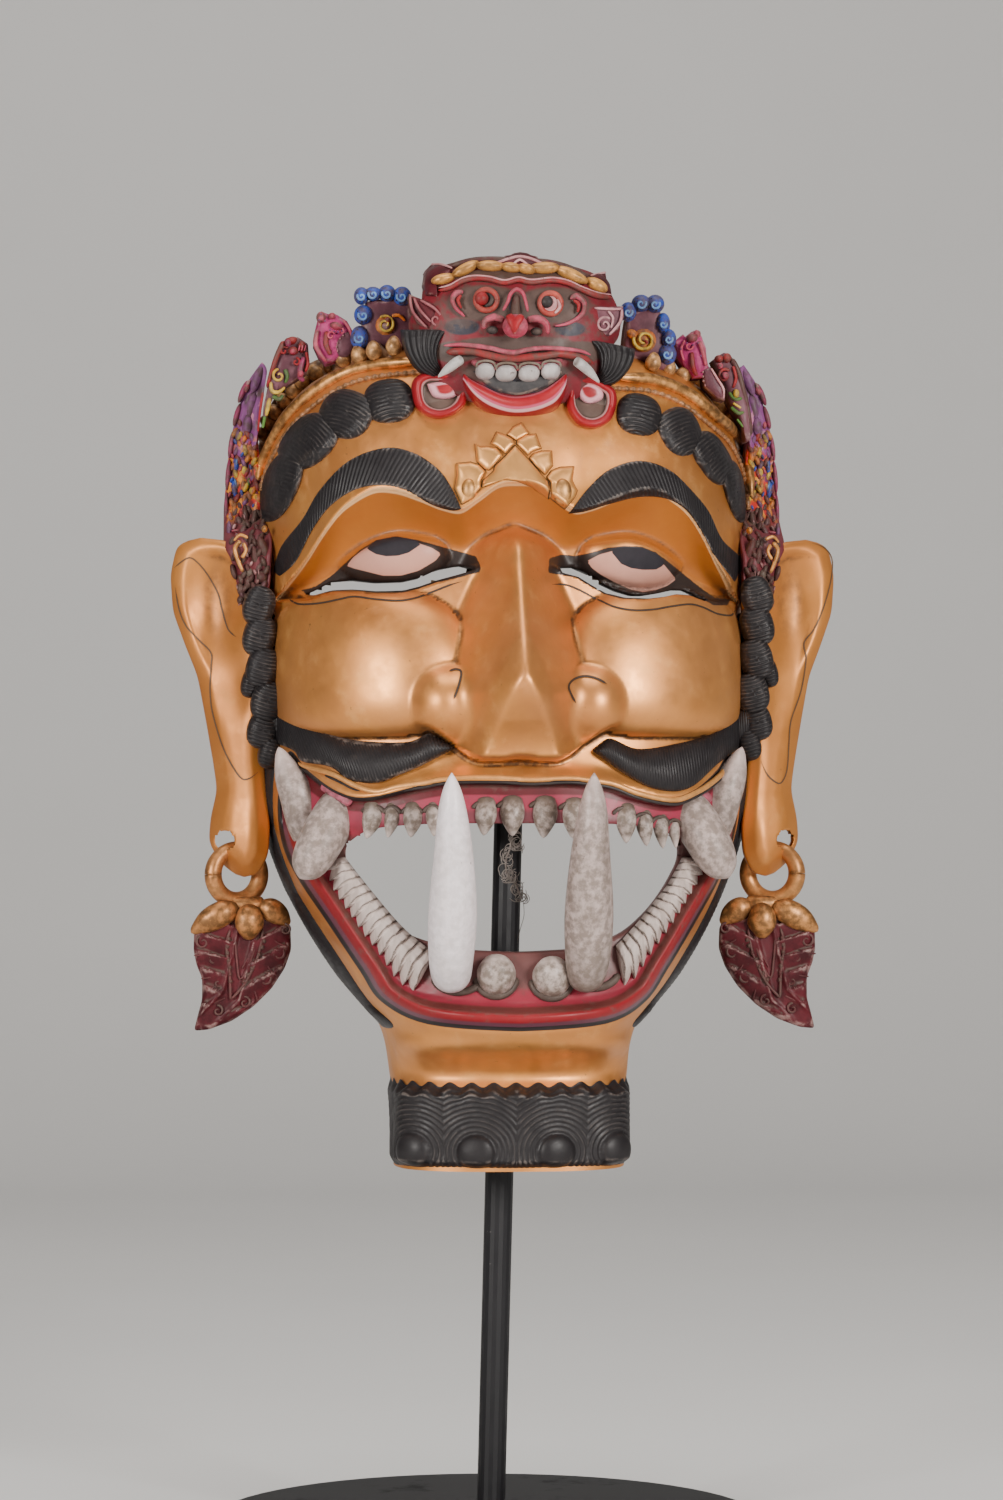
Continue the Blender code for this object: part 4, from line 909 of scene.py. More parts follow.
LEFT_CURLS = [(389, 401, 23, 22, 8), (346, 414, 24.5, 24, -25), (308, 441, 23, 28.5, -48),
              (279, 486, 17.5, 34, -22)]
RIGHT_CURLS = [(639, 415, 22, 21, -10), (680, 432, 22, 24, 25), (713, 458, 19, 27.5, 40),
               (736, 491, 15, 30, 20)]
SIDE_CURLS = {"left": [(259, 606, 15, 19, 43), (260, 636, 16, 20, 43), (263, 668, 16, 20, 44),
                       (251, 682, 9, 15, 41), (268, 701, 16, 20, 44), (263, 730, 15, 18, 42),
                       (270, 752, 11, 16, 42)],
              "right": [(757, 596, 15, 19, 43), (757, 626, 16, 20, 43), (756, 659, 16, 20, 44),
                        (768, 672, 9, 15, 41), (752, 693, 16, 20, 44), (757, 722, 14, 18, 42),
                        (749, 744, 11, 16, 42)]}


def side_by_side(lines, surface=base_depth, lift=0.0):
    """Two lines of pixels as (x, h) points on a surface."""
    return [on_face(line, surface, lift)[:, [0, 2]] for line in lines]


def curl(name, px, v, wide, tall, tilt, surface, material, rise=5.2, pitch=1.25, seat=0.0, lean=-1):
    """One rolled lock: a domed oval with fine lines that bow across it."""
    at = on_face([(px, v)], surface, seat)[0]
    a, b, t = wide * 0.345, tall * 0.345, math.radians(tilt)
    r, turn = np.meshgrid(np.linspace(0, 1, 31) ** 0.8, np.linspace(0, math.tau, 62, endpoint=False),
                          indexing="ij")
    u, w = r * np.cos(turn), r * np.sin(turn)
    u, w = np.sign(u) * np.abs(u) ** 0.84, np.sign(w) * np.abs(w) ** 0.84
    x = at[0] + a * u * math.cos(t) - b * w * math.sin(t)
    h = at[2] + a * u * math.sin(t) + b * w * math.cos(t)
    bow = np.hypot(a * u * 0.75, b * w - b * 1.5 * lean)
    cut = np.abs(np.sin(math.pi * bow / pitch)) ** 0.7
    high = np.sqrt(np.clip(1 - r ** 2.6, 0, 1))
    d = surface(x, h) + seat + rise * high + 0.62 * cut * np.minimum(high * 2, 1) - 1.6 * (r > 0.999)
    make(name, np.stack([x, d, h], -1).reshape(-1, 3), grid(31, 62, True)[:, ::-1], material)


def shell_point(angle, h, lift=0.0):
    """Points on the plain shell at an angle round it, raised square to its surface."""
    width, front, rim = smooth(WIDTHS, h), smooth(FRONTS, h), smooth(RIMS, h)
    s, c = np.sin(angle), np.abs(np.cos(angle))
    across, forward = np.sign(s) * np.abs(s) ** (2 / ROUNDNESS), c ** (2 / ROUNDNESS)
    nx = np.sign(s) * np.abs(across) ** (ROUNDNESS - 1) / width
    nd = forward ** (ROUNDNESS - 1) / (front - rim)
    size = np.hypot(nx, nd)
    return np.stack([width * across + lift * nx / size, rim + (front - rim) * forward + lift * nd / size,
                     h + 0 * angle], -1)


def beard(material):
    """The short beard: hair drawn down in sweeps round four round curls."""
    cols, rows = 310, 64
    angles = evened(cols, 38, 32)[None, :] + np.zeros((rows, 1))
    v = np.linspace(0, 1, rows)[:, None] + np.zeros((1, cols))
    h = 27.5 * v
    plain = shell_point(angles, h)
    steps = np.hypot(np.diff(plain[..., 0]), np.diff(plain[..., 1]))
    run = np.concatenate([np.zeros((rows, 1)), np.cumsum(steps, 1)], 1)
    run -= run[:, cols // 2:cols // 2 + 1]
    near = np.full(run.shape, 1e9)
    lump = np.zeros(run.shape)
    for place in (-31.5, -12.3, 12.3, 31.5):
        r = np.hypot(run - place, h - 6.3)
        lump = np.maximum(lump, np.sqrt(np.clip(1 - (r / 5.6) ** 2, 0, 1)))
        near = np.minimum(near, r)
    edge = step(0.0, 0.13, v) * (1 - step(0.86, 1.0, v) * 0.9)
    scallop = 0.8 * np.cos(run * 0.9) * step(0.7, 1.0, v)
    cut = 0.5 * np.abs(np.sin(math.pi * near / 1.55)) ** 0.7 * (lump <= 0)
    lift = (4.0 + 0.8 * np.cos(run / 5.8)) * edge + (cut + 2.6 * lump) * step(0, 0.4, edge) - 0.3
    back_off = step(34, 46, np.abs(run))
    points = shell_point(angles, h + scallop * v, lift * (1 - 0.6 * back_off))
    low = points[0].copy()
    inner = shell_point(angles[0], h[0] * 0, -9.0)
    body = join([(points.reshape(-1, 3), grid(rows, cols)),
                 (np.stack([inner, low]).reshape(-1, 3), grid(2, cols))])
    make("beard", *body, material)


def side_hair(material):
    """The band of hair that runs from the moustache round the corner of the mouth and down the jaw."""
    rows, cols = 220, 22
    h = np.linspace(44.0, 178.0, rows)[:, None] + np.zeros((1, cols))
    lip = np.array([np.max(LIPS[np.abs(LIPS[:, 1] - y) < 4.0][:, 0], initial=20) for y in h[:, 0]])
    lip = np.convolve(np.pad(lip, 8, "edge"), np.ones(17) / 17, "valid")
    lip = np.where(h[:, 0] > 128, np.maximum(lip, lip[np.argmin(np.abs(h[:, 0] - 128))]), lip)
    width = smooth(WIDTHS, h[:, 0])
    start = np.arcsin(np.clip((lip + 0.9) / width, 0.3, 0.97) ** (ROUNDNESS / 2))
    end = np.full(rows, math.pi / 2 - 0.10)
    end = np.maximum(end, start + 0.2)
    v = np.linspace(0, 1, cols)[None, :]
    angle = np.minimum(start[:, None] * (1 - v) + end[:, None] * v, math.pi / 2 - 0.01)
    ends = np.clip(np.minimum(h - 44, 178 - h) / 5, 0, 1) ** 0.5
    swell = np.clip(np.sin(math.pi * v), 0, 1) ** 0.5 * ends
    cut = 0.4 * np.abs(np.sin(math.pi * (h + 5.0 * v) / 1.5)) ** 0.7
    points = shell_point(angle, h, 2.4 * swell + cut * swell - 0.3)
    right = (points.reshape(-1, 3), grid(rows, cols)[:, ::-1])
    make("side_hair", *both(right), material)


def held_depth(x, h):
    """The plain shell's depth, which stops falling away near the sides."""
    return np.maximum(base_depth(np.clip(x, -77.5, 77.5), h), 40)


def hair():
    """Brows, moustaches, curls, beard and side hair."""
    material = black_hair()
    for name, lines, lean in (("left_brow", LEFT_BROW, -0.35), ("right_brow", RIGHT_BROW, 0.35)):
        upper, lower = side_by_side(lines, face_depth, 1.0)
        make(name, *strip(upper, lower, face_depth, 0.9, 0.42, 1.42, (1.0, lean), 320, 26), material)
    for name, lines, lean in (("left_moustache", LEFT_MOUSTACHE, 0.25),
                              ("right_moustache", RIGHT_MOUSTACHE, -0.25)):
        upper, lower = side_by_side(lines, held_depth, 5.0)
        make(name, *strip(upper, lower, lambda x, h: held_depth(x, h) + 1.5, 4.6, 0.35, 0.95, (1.0, lean),
                          370, 26, 2.5), material)
    for word, curls in (("left", LEFT_CURLS), ("right", RIGHT_CURLS)):
        for number, (px, v, wide, tall, tilt) in enumerate(curls, 1):
            curl(f"{word}_curl_{number}", px, v, wide, tall, tilt, base_depth, material)
    for side, word in ((-1, "left"), (1, "right")):
        for number, (px, v, wide, tall, d) in enumerate(SIDE_CURLS[word], 1):
            curl(f"{word}_side_curl_{number}", px, v, wide, tall, side * 15,
                 lambda x, h, d=d: d + 0 * x, material, 4.6, 1.2, 0.0, 1)
    beard(material)
    side_hair(material)


# Painted lines, laid as thin skins of paint

def line(name, pixels, surface, width, material, count=120, lift=0.16):
    """A thin tapering stroke of paint on a surface."""
    middle = along(on_face(pixels, surface), count)
    way = np.gradient(middle[:, [0, 2]], axis=0)
    way /= np.linalg.norm(way, axis=1)[:, None]
    run = np.linspace(0, 1, count)
    half = width / 2 * np.clip(np.minimum(run, 1 - run) * 18, 0.15, 1)
    rows = []
    for side in (-1, 0, 1):
        x = middle[:, 0] - side * half * way[:, 1]
        h = middle[:, 2] + side * half * way[:, 0]
        rows.append(np.stack([x, surface(x, h) + lift, h], 1))
    make(name, np.concatenate(rows), grid(3, count), material)


def lines():
    """Lines drawn under the eyes and round the nostrils."""
    p = Paint("line_paint")
    ink = p.finish(p.mix((0.02, 0.014, 0.012), (0.06, 0.035, 0.02), p.noise(500, 4)),
                   p.uneven(300, 3, 0.45, 0.6),
                   0.0, [(p.noise(900, 2), 0.05, 0.0001)])
    line("left_lid_line", [(289, 599), (299, 604), (320, 603), (340, 599), (354, 596.5), (375, 599),
                           (398, 600.5), (415, 598), (432, 592), (450, 585), (462, 581.5)], face_depth,
                           0.62, ink)
    line("right_lid_line", [(552, 584.4), (565, 584.6), (580, 590.3), (596, 599), (613.6, 606.4),
                            (632.7, 610), (653.2, 609.4), (670.8, 606.4), (690, 604.2), (703, 607.2),
                            (717.8, 613.8), (731, 615.2), (735.4, 610)], face_depth, 0.62, ink)
    line("left_nostril_line", [(449, 671), (456, 669), (461, 672), (459, 684), (454, 699)], face_depth, 0.7,
         ink, 60, 0.3)
    line("right_nostril_line", [(607, 684), (596, 678), (584, 676), (573, 680), (569, 688), (576, 703)],
         face_depth, 0.7, ink, 60, 0.3)


# Ears

EAR = [(-100, 202), (-106.5, 199.5), (-108.6, 190), (-107.8, 178), (-103.8, 167), (-99.8, 157), (-97, 142),
       (-94.6, 128), (-93.5, 120), (-95.6, 111), (-96.2, 103), (-92, 96), (-86, 91.6), (-80.5, 92.5),
       (-77, 99), (-76.5, 108), (-78.5, 130), (-78, 160), (-76, 185), (-82, 196.5), (-91, 201)]
EAR_HOLE = (91.0, 103.8)
EAR_HOLE_RADIUS = 3.2


def ear_outline():
    """The left ear's outline, softened at its corners."""
    stops = np.array(EAR + [EAR[0]], float)
    run = np.concatenate([[0], np.cumsum(np.hypot(*np.diff(stops, axis=0).T))])
    fine = np.linspace(0, run[-1], 200, endpoint=False)
    rough = np.stack([np.interp(fine, run, stops[:, k]) for k in range(2)], 1)
    for _ in range(4):
        rough = 0.5 * rough + 0.25 * (np.roll(rough, 1, 0) + np.roll(rough, -1, 0))
    return rough


def ear_depth(x, h):
    """Depth of the left ear's front: a scooped bowl over a rounded strap and a thick lobe."""
    inside = np.clip(-distance(EAR_LINE, x, h), 0, 60)
    plate = 24.0 + 0.42 * (x + 110)
    rim = 3.0 * np.sqrt(np.clip(inside / 4.0, 0, 1))
    bowl = np.exp(-(((x + 93.0) / 8.0) ** 2 + ((h - 181) / 17.0) ** 2) ** 1.3) * step(1.5, 6.0, inside)
    strap = 1.4 * step(0.0, 7.0, inside) * step(150, 138, h)
    lobe = 1.6 * step(0.0, 8.0, inside) * step(118, 104, h)
    bulge = 1.6 * np.exp(-(((x + 82.5) / 3.6) ** 2 + ((h - 152) / 9.0) ** 2))
    return plate - 1.0 + rim - 5.4 * bowl + strap + lobe + bulge


EAR_LINE = ear_outline()


def ears():
    """Both long ears, with their pierced lobes and drawn lines."""
    rows, cols = 140, 46
    hs = np.linspace(EAR_LINE[:, 1].min() + 0.02, EAR_LINE[:, 1].max() - 0.02, rows)
    spans = []
    for y in hs:
        a, b = EAR_LINE, np.roll(EAR_LINE, -1, 0)
        crosses = (a[:, 1] > y) != (b[:, 1] > y)
        reach = (y - a[crosses, 1]) * (b[crosses, 0] - a[crosses, 0])
        at = a[crosses, 0] + reach / (b[crosses, 1] - a[crosses, 1])
        spans.append((at.min(), at.max()))
    low, high = np.array(spans).T
    t = 0.5 - 0.5 * np.cos(np.linspace(0, math.pi, cols))
    x = low[:, None] + (high - low)[:, None] * t[None, :]
    h = hs[:, None] + np.zeros((1, cols))
    turn = np.linspace(0, math.tau, 40, endpoint=False)
    hole = np.stack([-EAR_HOLE[0] + EAR_HOLE_RADIUS * np.cos(turn),
                     EAR_HOLE[1] + EAR_HOLE_RADIUS * np.sin(turn)], 1)
    gap = snapped(x, h, [hole], 0.3)
    front = ear_depth(x, h)
    inside = np.clip(-distance(EAR_LINE, x, h), 0, 60)
    behind = 24 + 0.45 * (x + 110) - 7.2 + 2.6 * (1 - np.sqrt(np.clip(inside / 4, 0, 1)))
    edge = np.minimum(t, 1 - t)[None, :] + 0 * h < 1e-6
    behind = np.where(edge, front, behind)
    faces = grid(rows, cols)
    keep = faces[gap.ravel()[faces].mean(1) > 0]
    points, kept, _ = walled(np.stack([x, front, h], -1).reshape(-1, 3), faces, gap.ravel(),
                             lambda a, b: 24 + 0.45 * (a + 110) - 7.2, ON_EDGE)
    left = join([(points, kept), (np.stack([x, behind, h], -1).reshape(-1, 3), keep[:, ::-1])])
    p = Paint("ear_gold")
    tone, rough, metal = gold_tones(p)
    tone = p.mix(tone, (0.36, 0.125, 0.028), 0.65)
    metal = p.times(metal, 0.6)
    # Painted shade in the ear's scooped bowl and its other hollows
    tone = soiling_and_shade(p, tone, (0.14, 0.06, 0.025), 0.3, 1.8, 0.8)
    material = p.finish(tone, rough, metal, [(p.noise(120, 5), 0.12, 0.0004)])
    make("left_ear", *left, material)
    make("right_ear", *mirrored(left), material)
    p = Paint("ear_line_paint")
    ink = p.finish(p.mix((0.05, 0.03, 0.02), (0.14, 0.07, 0.03), p.noise(400, 4)),
                   p.uneven(300, 3, 0.45, 0.6))
    left_lines = [[(174, 568), (188, 558), (198, 563), (209, 577), (218, 594), (222, 610), (228, 629),
                   (236, 637)], [(175, 587), (179, 609), (186, 626), (199, 640), (211, 653), (211, 668),
                                 (210, 691), (213, 715), (224, 750), (239, 776), (248, 779), (258, 772)]]
    right_lines = [[(812, 543), (825, 548), (832, 560), (831, 580), (823, 609), (814, 629), (804, 643),
                    (806, 660), (801, 691), (791, 721), (789, 743), (787, 770), (781, 783), (774, 781),
                    (767, 774), (761, 761)]]
    for number, pixels in enumerate(left_lines, 1):
        line(f"left_ear_line_{number}", pixels, ear_depth, 0.5, ink, 90, 0.2)
    for number, pixels in enumerate(right_lines, 1):
        line(f"right_ear_line_{number}", pixels, lambda x, h: ear_depth(-x, h), 0.5, ink, 90, 0.2)


# Colours of the painted carving: a deep and a light tone of each
TONES = {
    "maroon": ((0.034, 0.004, 0.006), (0.085, 0.010, 0.015)),
    "red": ((0.19, 0.005, 0.009), (0.33, 0.012, 0.018)),
    "pink": ((0.36, 0.028, 0.065), (0.54, 0.09, 0.15)), "rose": ((0.42, 0.16, 0.17), (0.56, 0.31, 0.31)),
    "magenta": ((0.22, 0.012, 0.07), (0.38, 0.04, 0.14)),
    "purple": ((0.12, 0.03, 0.13), (0.23, 0.075, 0.21)),
    "mauve": ((0.075, 0.025, 0.035), (0.15, 0.06, 0.075)),
    "blue": ((0.004, 0.045, 0.34), (0.010, 0.10, 0.56)),
    "sky": ((0.05, 0.17, 0.45), (0.22, 0.40, 0.64)), "orange": ((0.60, 0.12, 0.012), (0.76, 0.27, 0.03)),
    "yellow": ((0.58, 0.33, 0.02), (0.70, 0.48, 0.06)), "green": ((0.025, 0.09, 0.015), (0.08, 0.19, 0.03)),
    "grey": ((0.11, 0.08, 0.06), (0.19, 0.15, 0.12)), "cream": ((0.30, 0.27, 0.26), (0.46, 0.42, 0.41)),
    "coal": ((0.012, 0.011, 0.013), (0.03, 0.026, 0.027)),
}
MADE = {}


def colour(name):
    """The paint of one tone, made once."""
    if name not in MADE:
        deep, light = TONES[name]
        reds = ("maroon", "red", "magenta", "purple", "mauve")
        wear = (0.44, 0.30, 0.27) if name in reds else (0.5, 0.44, 0.38)
        MADE[name] = paint(f"{name}_paint", deep, light, wear=wear, wear_share=0.4, specks=0.7)
    return MADE[name]


def at(px, v, d):
    """The point of the mask at depth d that the photograph shows at a pixel."""
    x, h = spot(px, v, d)
    return float(x), float(d), float(h)


def bar(stops, count=30, sides=10, flat=1.0):
    """A bar through (px, v, depth, radius in pixels) stops."""
    return tube([(*at(px, v, d), PIXEL_AHEAD * r) for px, v, d, r in stops], count, sides, flat)


def knob(px, v, d, wide, tall, out=None, tilt=0.0, segments=16):
    """A rounded lump with half width and half height in pixels, standing out from depth d."""
    return ball(at(px, v, d), (PIXEL * wide, out or PIXEL * min(wide, tall), PIXEL * tall), tilt, segments)


def whirl(px, v, d, radius, stock, turns=1.5, hand=1, start=0.0, rise=1.6):
    """A coil with its middle, radius and stock in pixels."""
    return coil(at(px, v, d), PIXEL * radius, PIXEL * stock, turns, hand, rise, start, 46, 8)


def pad(pixels, surface, rise, back=8.0, rings=13, count=110, sharp=False, relief=None, power=3.0):
    """A closed cushion raised over a surface inside an outline in pixels, and each point's way outward."""
    traced = on_face(list(pixels) + [pixels[0]], surface)[:, [0, 2]]
    if sharp:
        run = np.concatenate([[0], np.cumsum(np.hypot(*np.diff(traced, axis=0).T))])
        fine = np.linspace(0, run[-1], count, endpoint=False)
        traced = np.stack([np.interp(fine, run, traced[:, k]) for k in range(2)], 1)
    else:
        traced = along(traced, count + 1)[:-1]
    turned = np.sum(traced[:, 0] * np.roll(traced[:, 1], -1) - np.roll(traced[:, 0], -1) * traced[:, 1]) < 0
    if turned:
        traced = traced[::-1]
    middle = traced.mean(0)
    r = np.linspace(0, 1, rings) ** 0.8
    x = middle[0] + r[:, None] * (traced[:, 0] - middle[0])
    h = middle[1] + r[:, None] * (traced[:, 1] - middle[1])
    d = surface(x, h) + rise * (np.clip(1 - r[:, None] ** power, 0, 1) ** 0.5)
    if relief is not None:
        d = d + relief(x, h) * np.clip((1 - r[:, None]) * 6, 0, 1)
    side = np.stack([x[-1], d[-1] - back, h[-1]], 1)[None]
    points = np.concatenate([np.stack([x, d, h], -1), side])
    faces = grid(rings + 1, count, True)
    cap = [tuple((rings * count + i) for i in range(count))]
    share = np.concatenate([np.repeat(r, count), np.ones(count)])
    return (points.reshape(-1, 3), [tuple(f)[::-1] for f in faces] + cap), share


def edged(name, tone, low=0.9, high=0.96, edge=(0.02, 0.014, 0.012), gilded=False):
    """Paint with a dark outline where the field across comes near 1."""
    p = Paint(name)
    if gilded:
        body, rough, metal = gold_tones(p)
        body = p.mix(body, (0.70, 0.42, 0.17), 0.35)
    else:
        deep, light = TONES[tone]
        body = p.mix(deep, light, p.between(p.noise(150, 5), 0.32, 0.68))
        rough, metal = p.uneven(200, 3, 0.38, 0.55), 0.0
    body = soiling_and_shade(p, body)
    mark = p.between(p.math("ADD", p.field("across"),
                            p.times(p.math("SUBTRACT", p.noise(500, 3), 0.5), 0.06)), low, high)
    body = p.mix(body, edge, mark)
    if gilded:
        metal = p.times(metal, p.between(mark, 0, 1, 1, 0))
    return p.finish(body, rough, metal, [(p.noise(200, 4), 0.12, 0.0003)])


# The head at the middle of the crown

def kala_depth(x, h):
    """Depth of the small head's front."""
    return 57 + 27 * dome(x / 37, (h - 262) / 31, 2.4)


HEAD = [(424, 297), (427, 276), (442, 266), (466, 260), (492, 258), (520, 256), (546, 260), (572, 266),
        (598, 276), (610, 292), (620, 316), (618, 338), (604, 356), (600, 378), (585, 394), (560, 404),
        (518, 412), (478, 404), (452, 392), (436, 376), (430, 356), (416, 340), (411, 318)]


def kala():
    """The fanged head at the middle of the diadem."""
    # The head itself, grey with dust round the eyes and mouth and painted shade in its deepest spots
    body, share = pad(HEAD, kala_depth, 0.4, 14, 48, 200)
    points = body[0]
    px, v = seen_at(*points.T)

    def blot(*spots):
        return np.max([1 - ((px - a) / w) ** 2 - ((v - b) / t) ** 2 for a, b, w, t in spots], axis=0)

    p = Paint("crown_head_paint")
    red = p.mix((0.075, 0.005, 0.010), (0.20, 0.012, 0.020), p.noise(130, 5, 0.65))
    dusty = p.mix((0.035, 0.018, 0.015), (0.10, 0.06, 0.048), p.noise(170, 5, 0.7))
    tone = p.mix(red, dusty, p.between(p.field("dusty"), 0.0, 0.35))
    tone = p.mix(tone, (0.022, 0.02, 0.03), p.between(p.field("shade"), 0.0, 0.4))
    tone = p.mix(tone, dusty, p.times(p.between(p.noise(230, 5, 0.7), 0.46, 0.60), 0.7))
    head_paint = p.finish(tone, p.uneven(200, 3, 0.45, 0.65), 0.0, [(p.noise(400, 4), 0.2, 0.0004)])
    make("crown_head", *body, head_paint, fields={
        "dusty": blot((484, 303, 42, 20), (552, 305, 42, 20), (516, 345, 70, 10), (518, 276, 80, 8),
                      (516, 372, 60, 14), (455, 352, 26, 12), (582, 352, 26, 12)),
        "shade": blot((462, 327, 20, 9), (570, 329, 18, 8), (518, 386, 38, 9), (515, 306, 7, 9))})

    def on(lift):
        return lambda x, h: kala_depth(x, h) + lift

    def rib(stops, lift=1.0, count=44, sides=10, flat=1.0):
        """A bar laid on the head through (px, v, radius in pixels) stops."""
        places = on_face([(a, b) for a, b, _ in stops], kala_depth, lift)
        return tube([(*q, PIXEL_AHEAD * s[2]) for q, s in zip(places, stops)], count, sides, flat)

    def lump(px, v, lift, size, tilt=0.0, segments=26):
        """A ball on the head."""
        return ball(tuple(on_face([(px, v)], kala_depth, lift)[0]), size, tilt, segments)

    # Crest, horns and the gold brow band
    crest, _ = pad([(491, 262), (497, 259), (502, 258.5), (505, 255.5), (510, 255), (514, 253), (520, 252),
                    (527, 253), (531, 255), (537, 256.5), (540, 260), (547, 265), (520, 272)], on(0), 2.6,
                    10, 16, 170, True)
    ridge = rib([(495, 264, 1.4), (509, 259.5, 1.6), (519, 257.5, 1.7), (530, 259.5, 1.6), (543, 265, 1.4)],
                2.6)
    left_horn, _ = pad([(423, 284), (424.5, 271), (431, 264.5), (441, 264.5), (452, 269), (451, 274),
                        (440, 275), (435, 283), (437, 297), (426, 296)], on(0), 3.0, 9, 14, 130, True)
    right_horn, _ = pad([(590, 276), (597, 273.5), (605.5, 272.5), (609.5, 284), (612, 298), (605, 293),
                         (603, 285)], on(0), 3.0, 9,
                        14, 120, True)
    rim = rib([(447, 268, 3), (470, 261.5, 3.4), (492, 260, 3.4), (520, 261, 3), (548, 263, 3.4),
               (570, 269, 3.4), (588, 278, 3)], 1.2)
    make("crest_maroon", *join([crest, left_horn, right_horn, rim]), colour("maroon"))
    make("crest_lines", *join([ridge, rib([(511, 267, 1), (519, 261, 1.3), (528, 267, 1)], 3.4),
                               rib([(452, 269, 1), (441, 265, 1.2), (431, 265, 1)], 2.2),
                               rib([(590, 276, 1), (605, 273, 1.1)], 2.2)]), colour("rose"))
    lobes = [(443, 279.5, 11, 5.4, -12), (465, 269.5, 13.5, 5.6, -28), (490, 266.5, 13, 5.4, 2),
             (511, 268, 9.5, 5, 8), (526, 269.5, 8.5, 5.2, 14), (544, 268.5, 14, 6, -2),
             (571, 275.5, 16, 6, 24), (596, 285.5, 11, 6.4, 26)]
    band = [lump(a, b, 1.6, (0.36 * w, 2.8, 0.32 * t), tilt) for a, b, w, t, tilt in lobes]
    make("crown_head_gold", *join(band), gold("crown_head_gilding", (0.80, 0.40, 0.10), 0.6, 0.4))
    brow = [(438, 291, 2.0), (449, 288.5, 2.6), (462, 281.5, 2.8), (474, 279, 2.6), (489, 280, 2.4),
            (504, 283.5, 2.4), (518, 280.5, 2.6), (531, 283, 2.4), (552, 281, 2.4), (568, 284, 2.6),
            (581, 290, 2.8), (597, 296, 3.2), (611, 298, 2.4)]
    make("crown_head_brow", *rib(brow, 1.6, 160), colour("red"))
    make("crown_head_brow_line", *rib([(a, b - 2.6, 1.0) for a, b, _ in brow], 2.4, 160, 8), colour("rose"))

    # Eyes
    ring = []
    for a, b in ((486, 300.5), (550, 304)):
        x, d, h = on_face([(a, b)], kala_depth, 1.6)[0]
        turns = np.linspace(0, math.tau, 45)
        ring.append(tube([(x + 3.25 * math.cos(s), d, h + 3.25 * math.sin(s), 0.95) for s in turns], 90, 12,
                         round_ends=False))
    ring_paint = paint("eye_ring_paint", (0.32, 0.02, 0.018), (0.50, 0.07, 0.05), wear=(0.55, 0.32, 0.28))
    make("crown_head_eye_rings", *join(ring), ring_paint)
    make("crown_head_left_ball", *lump(481, 299.3, 2.4, (2.2, 2.0, 2.2)), colour("red"))
    crescent = rib([(484, 306.5, 1.0), (489.5, 304.5, 2.2), (491.5, 299, 2.3), (488, 293.5, 1.2)], 2.0)
    pupil = lump(546.5, 302.5, 1.9, (2.0, 1.5, 2.0))
    make("crown_head_pupils", *join([crescent, pupil]), colour("coal"))
    lid = rib([(557, 299, 1.2), (559, 308, 1.8), (554, 314, 1.2)], 2.6)
    make("crown_head_eye_whites", *join([lump(550, 305, 0.9, (3.1, 1.4, 3.1)), lid]), colour("rose"))

    # Hooks beside the eyes, the nose and its outline
    left_hook = rib([(463, 292.5, 2.2), (456, 294, 3.4), (452.5, 301, 3.0), (456, 309, 2.2),
                     (464.5, 317, 1.0)], 1.6)
    right_hook = rib([(570, 299.5, 2.4), (576, 296.5, 3.2), (583, 303, 3.2), (583, 312, 2.8),
                      (577, 319, 2.2), (566, 324.5, 1.6), (554, 326.5, 0.8)], 1.6)
    make("crown_head_hooks", *join([left_hook, right_hook]), colour("pink"))
    hearts = [rib([(461, 296, 1.2), (457.5, 301, 2.0), (461, 309, 1.0)], 2.3),
              rib([(573, 301, 1.4), (578, 305, 2.0), (577, 313, 1.2)], 2.3)]
    make("crown_head_hook_hearts", *join(hearts), colour("red"))
    outline = [(502, 312, 1.4), (507, 303, 1.7), (509.5, 295.5, 1.9), (515, 290.5, 2.1), (521, 293, 1.9),
               (524, 300, 1.7), (527, 313, 1.4)]
    bridge = rib([(516, 296, 4.0), (515, 306, 4.6), (515, 318, 6.0)], 2.2)
    make("crown_head_bridge", *bridge, colour("maroon"))
    make("crown_head_bridge_line", *rib(outline, 3.8), colour("pink"))
    wings = join([rib([(483, 330, 2.2), (484, 322.5, 3.0), (494, 318.5, 3.8), (503, 322, 3.0)], 4.4),
                  rib([(526, 321.5, 3.0), (537, 320, 3.8), (545.5, 325.5, 3.2), (547, 335, 2.0)], 4.4)])
    make("crown_head_nose_wings", *wings, colour("pink"))
    x, d, h = on_face([(514, 328)], kala_depth, 5.8)[0]
    make("crown_head_nose", *ball((x, d, h), (4.0, 4.4, 3.7), 0, 34), colour("pink"))
    heart, _ = pad([(506, 316), (511, 313.5), (515, 316), (520, 314), (524, 317), (520, 325), (514.5, 334),
                    (509, 325)],
                   lambda x_, h_: d + 1.2 + 3.2 * dome((x_ - x) / 5.4, (h_ - h) / 6.2, 2.0), 0.5, 1.5, 10,
                   90)
    make("crown_head_nose_heart", *heart, colour("red"))
    holes = [lump(a, b, 3.4, (1.9, 1.6, 1.3), 0, 18) for a, b in ((491.5, 331), (535.5, 332.5))]
    make("crown_head_nostrils", *join(holes), colour("coal"))

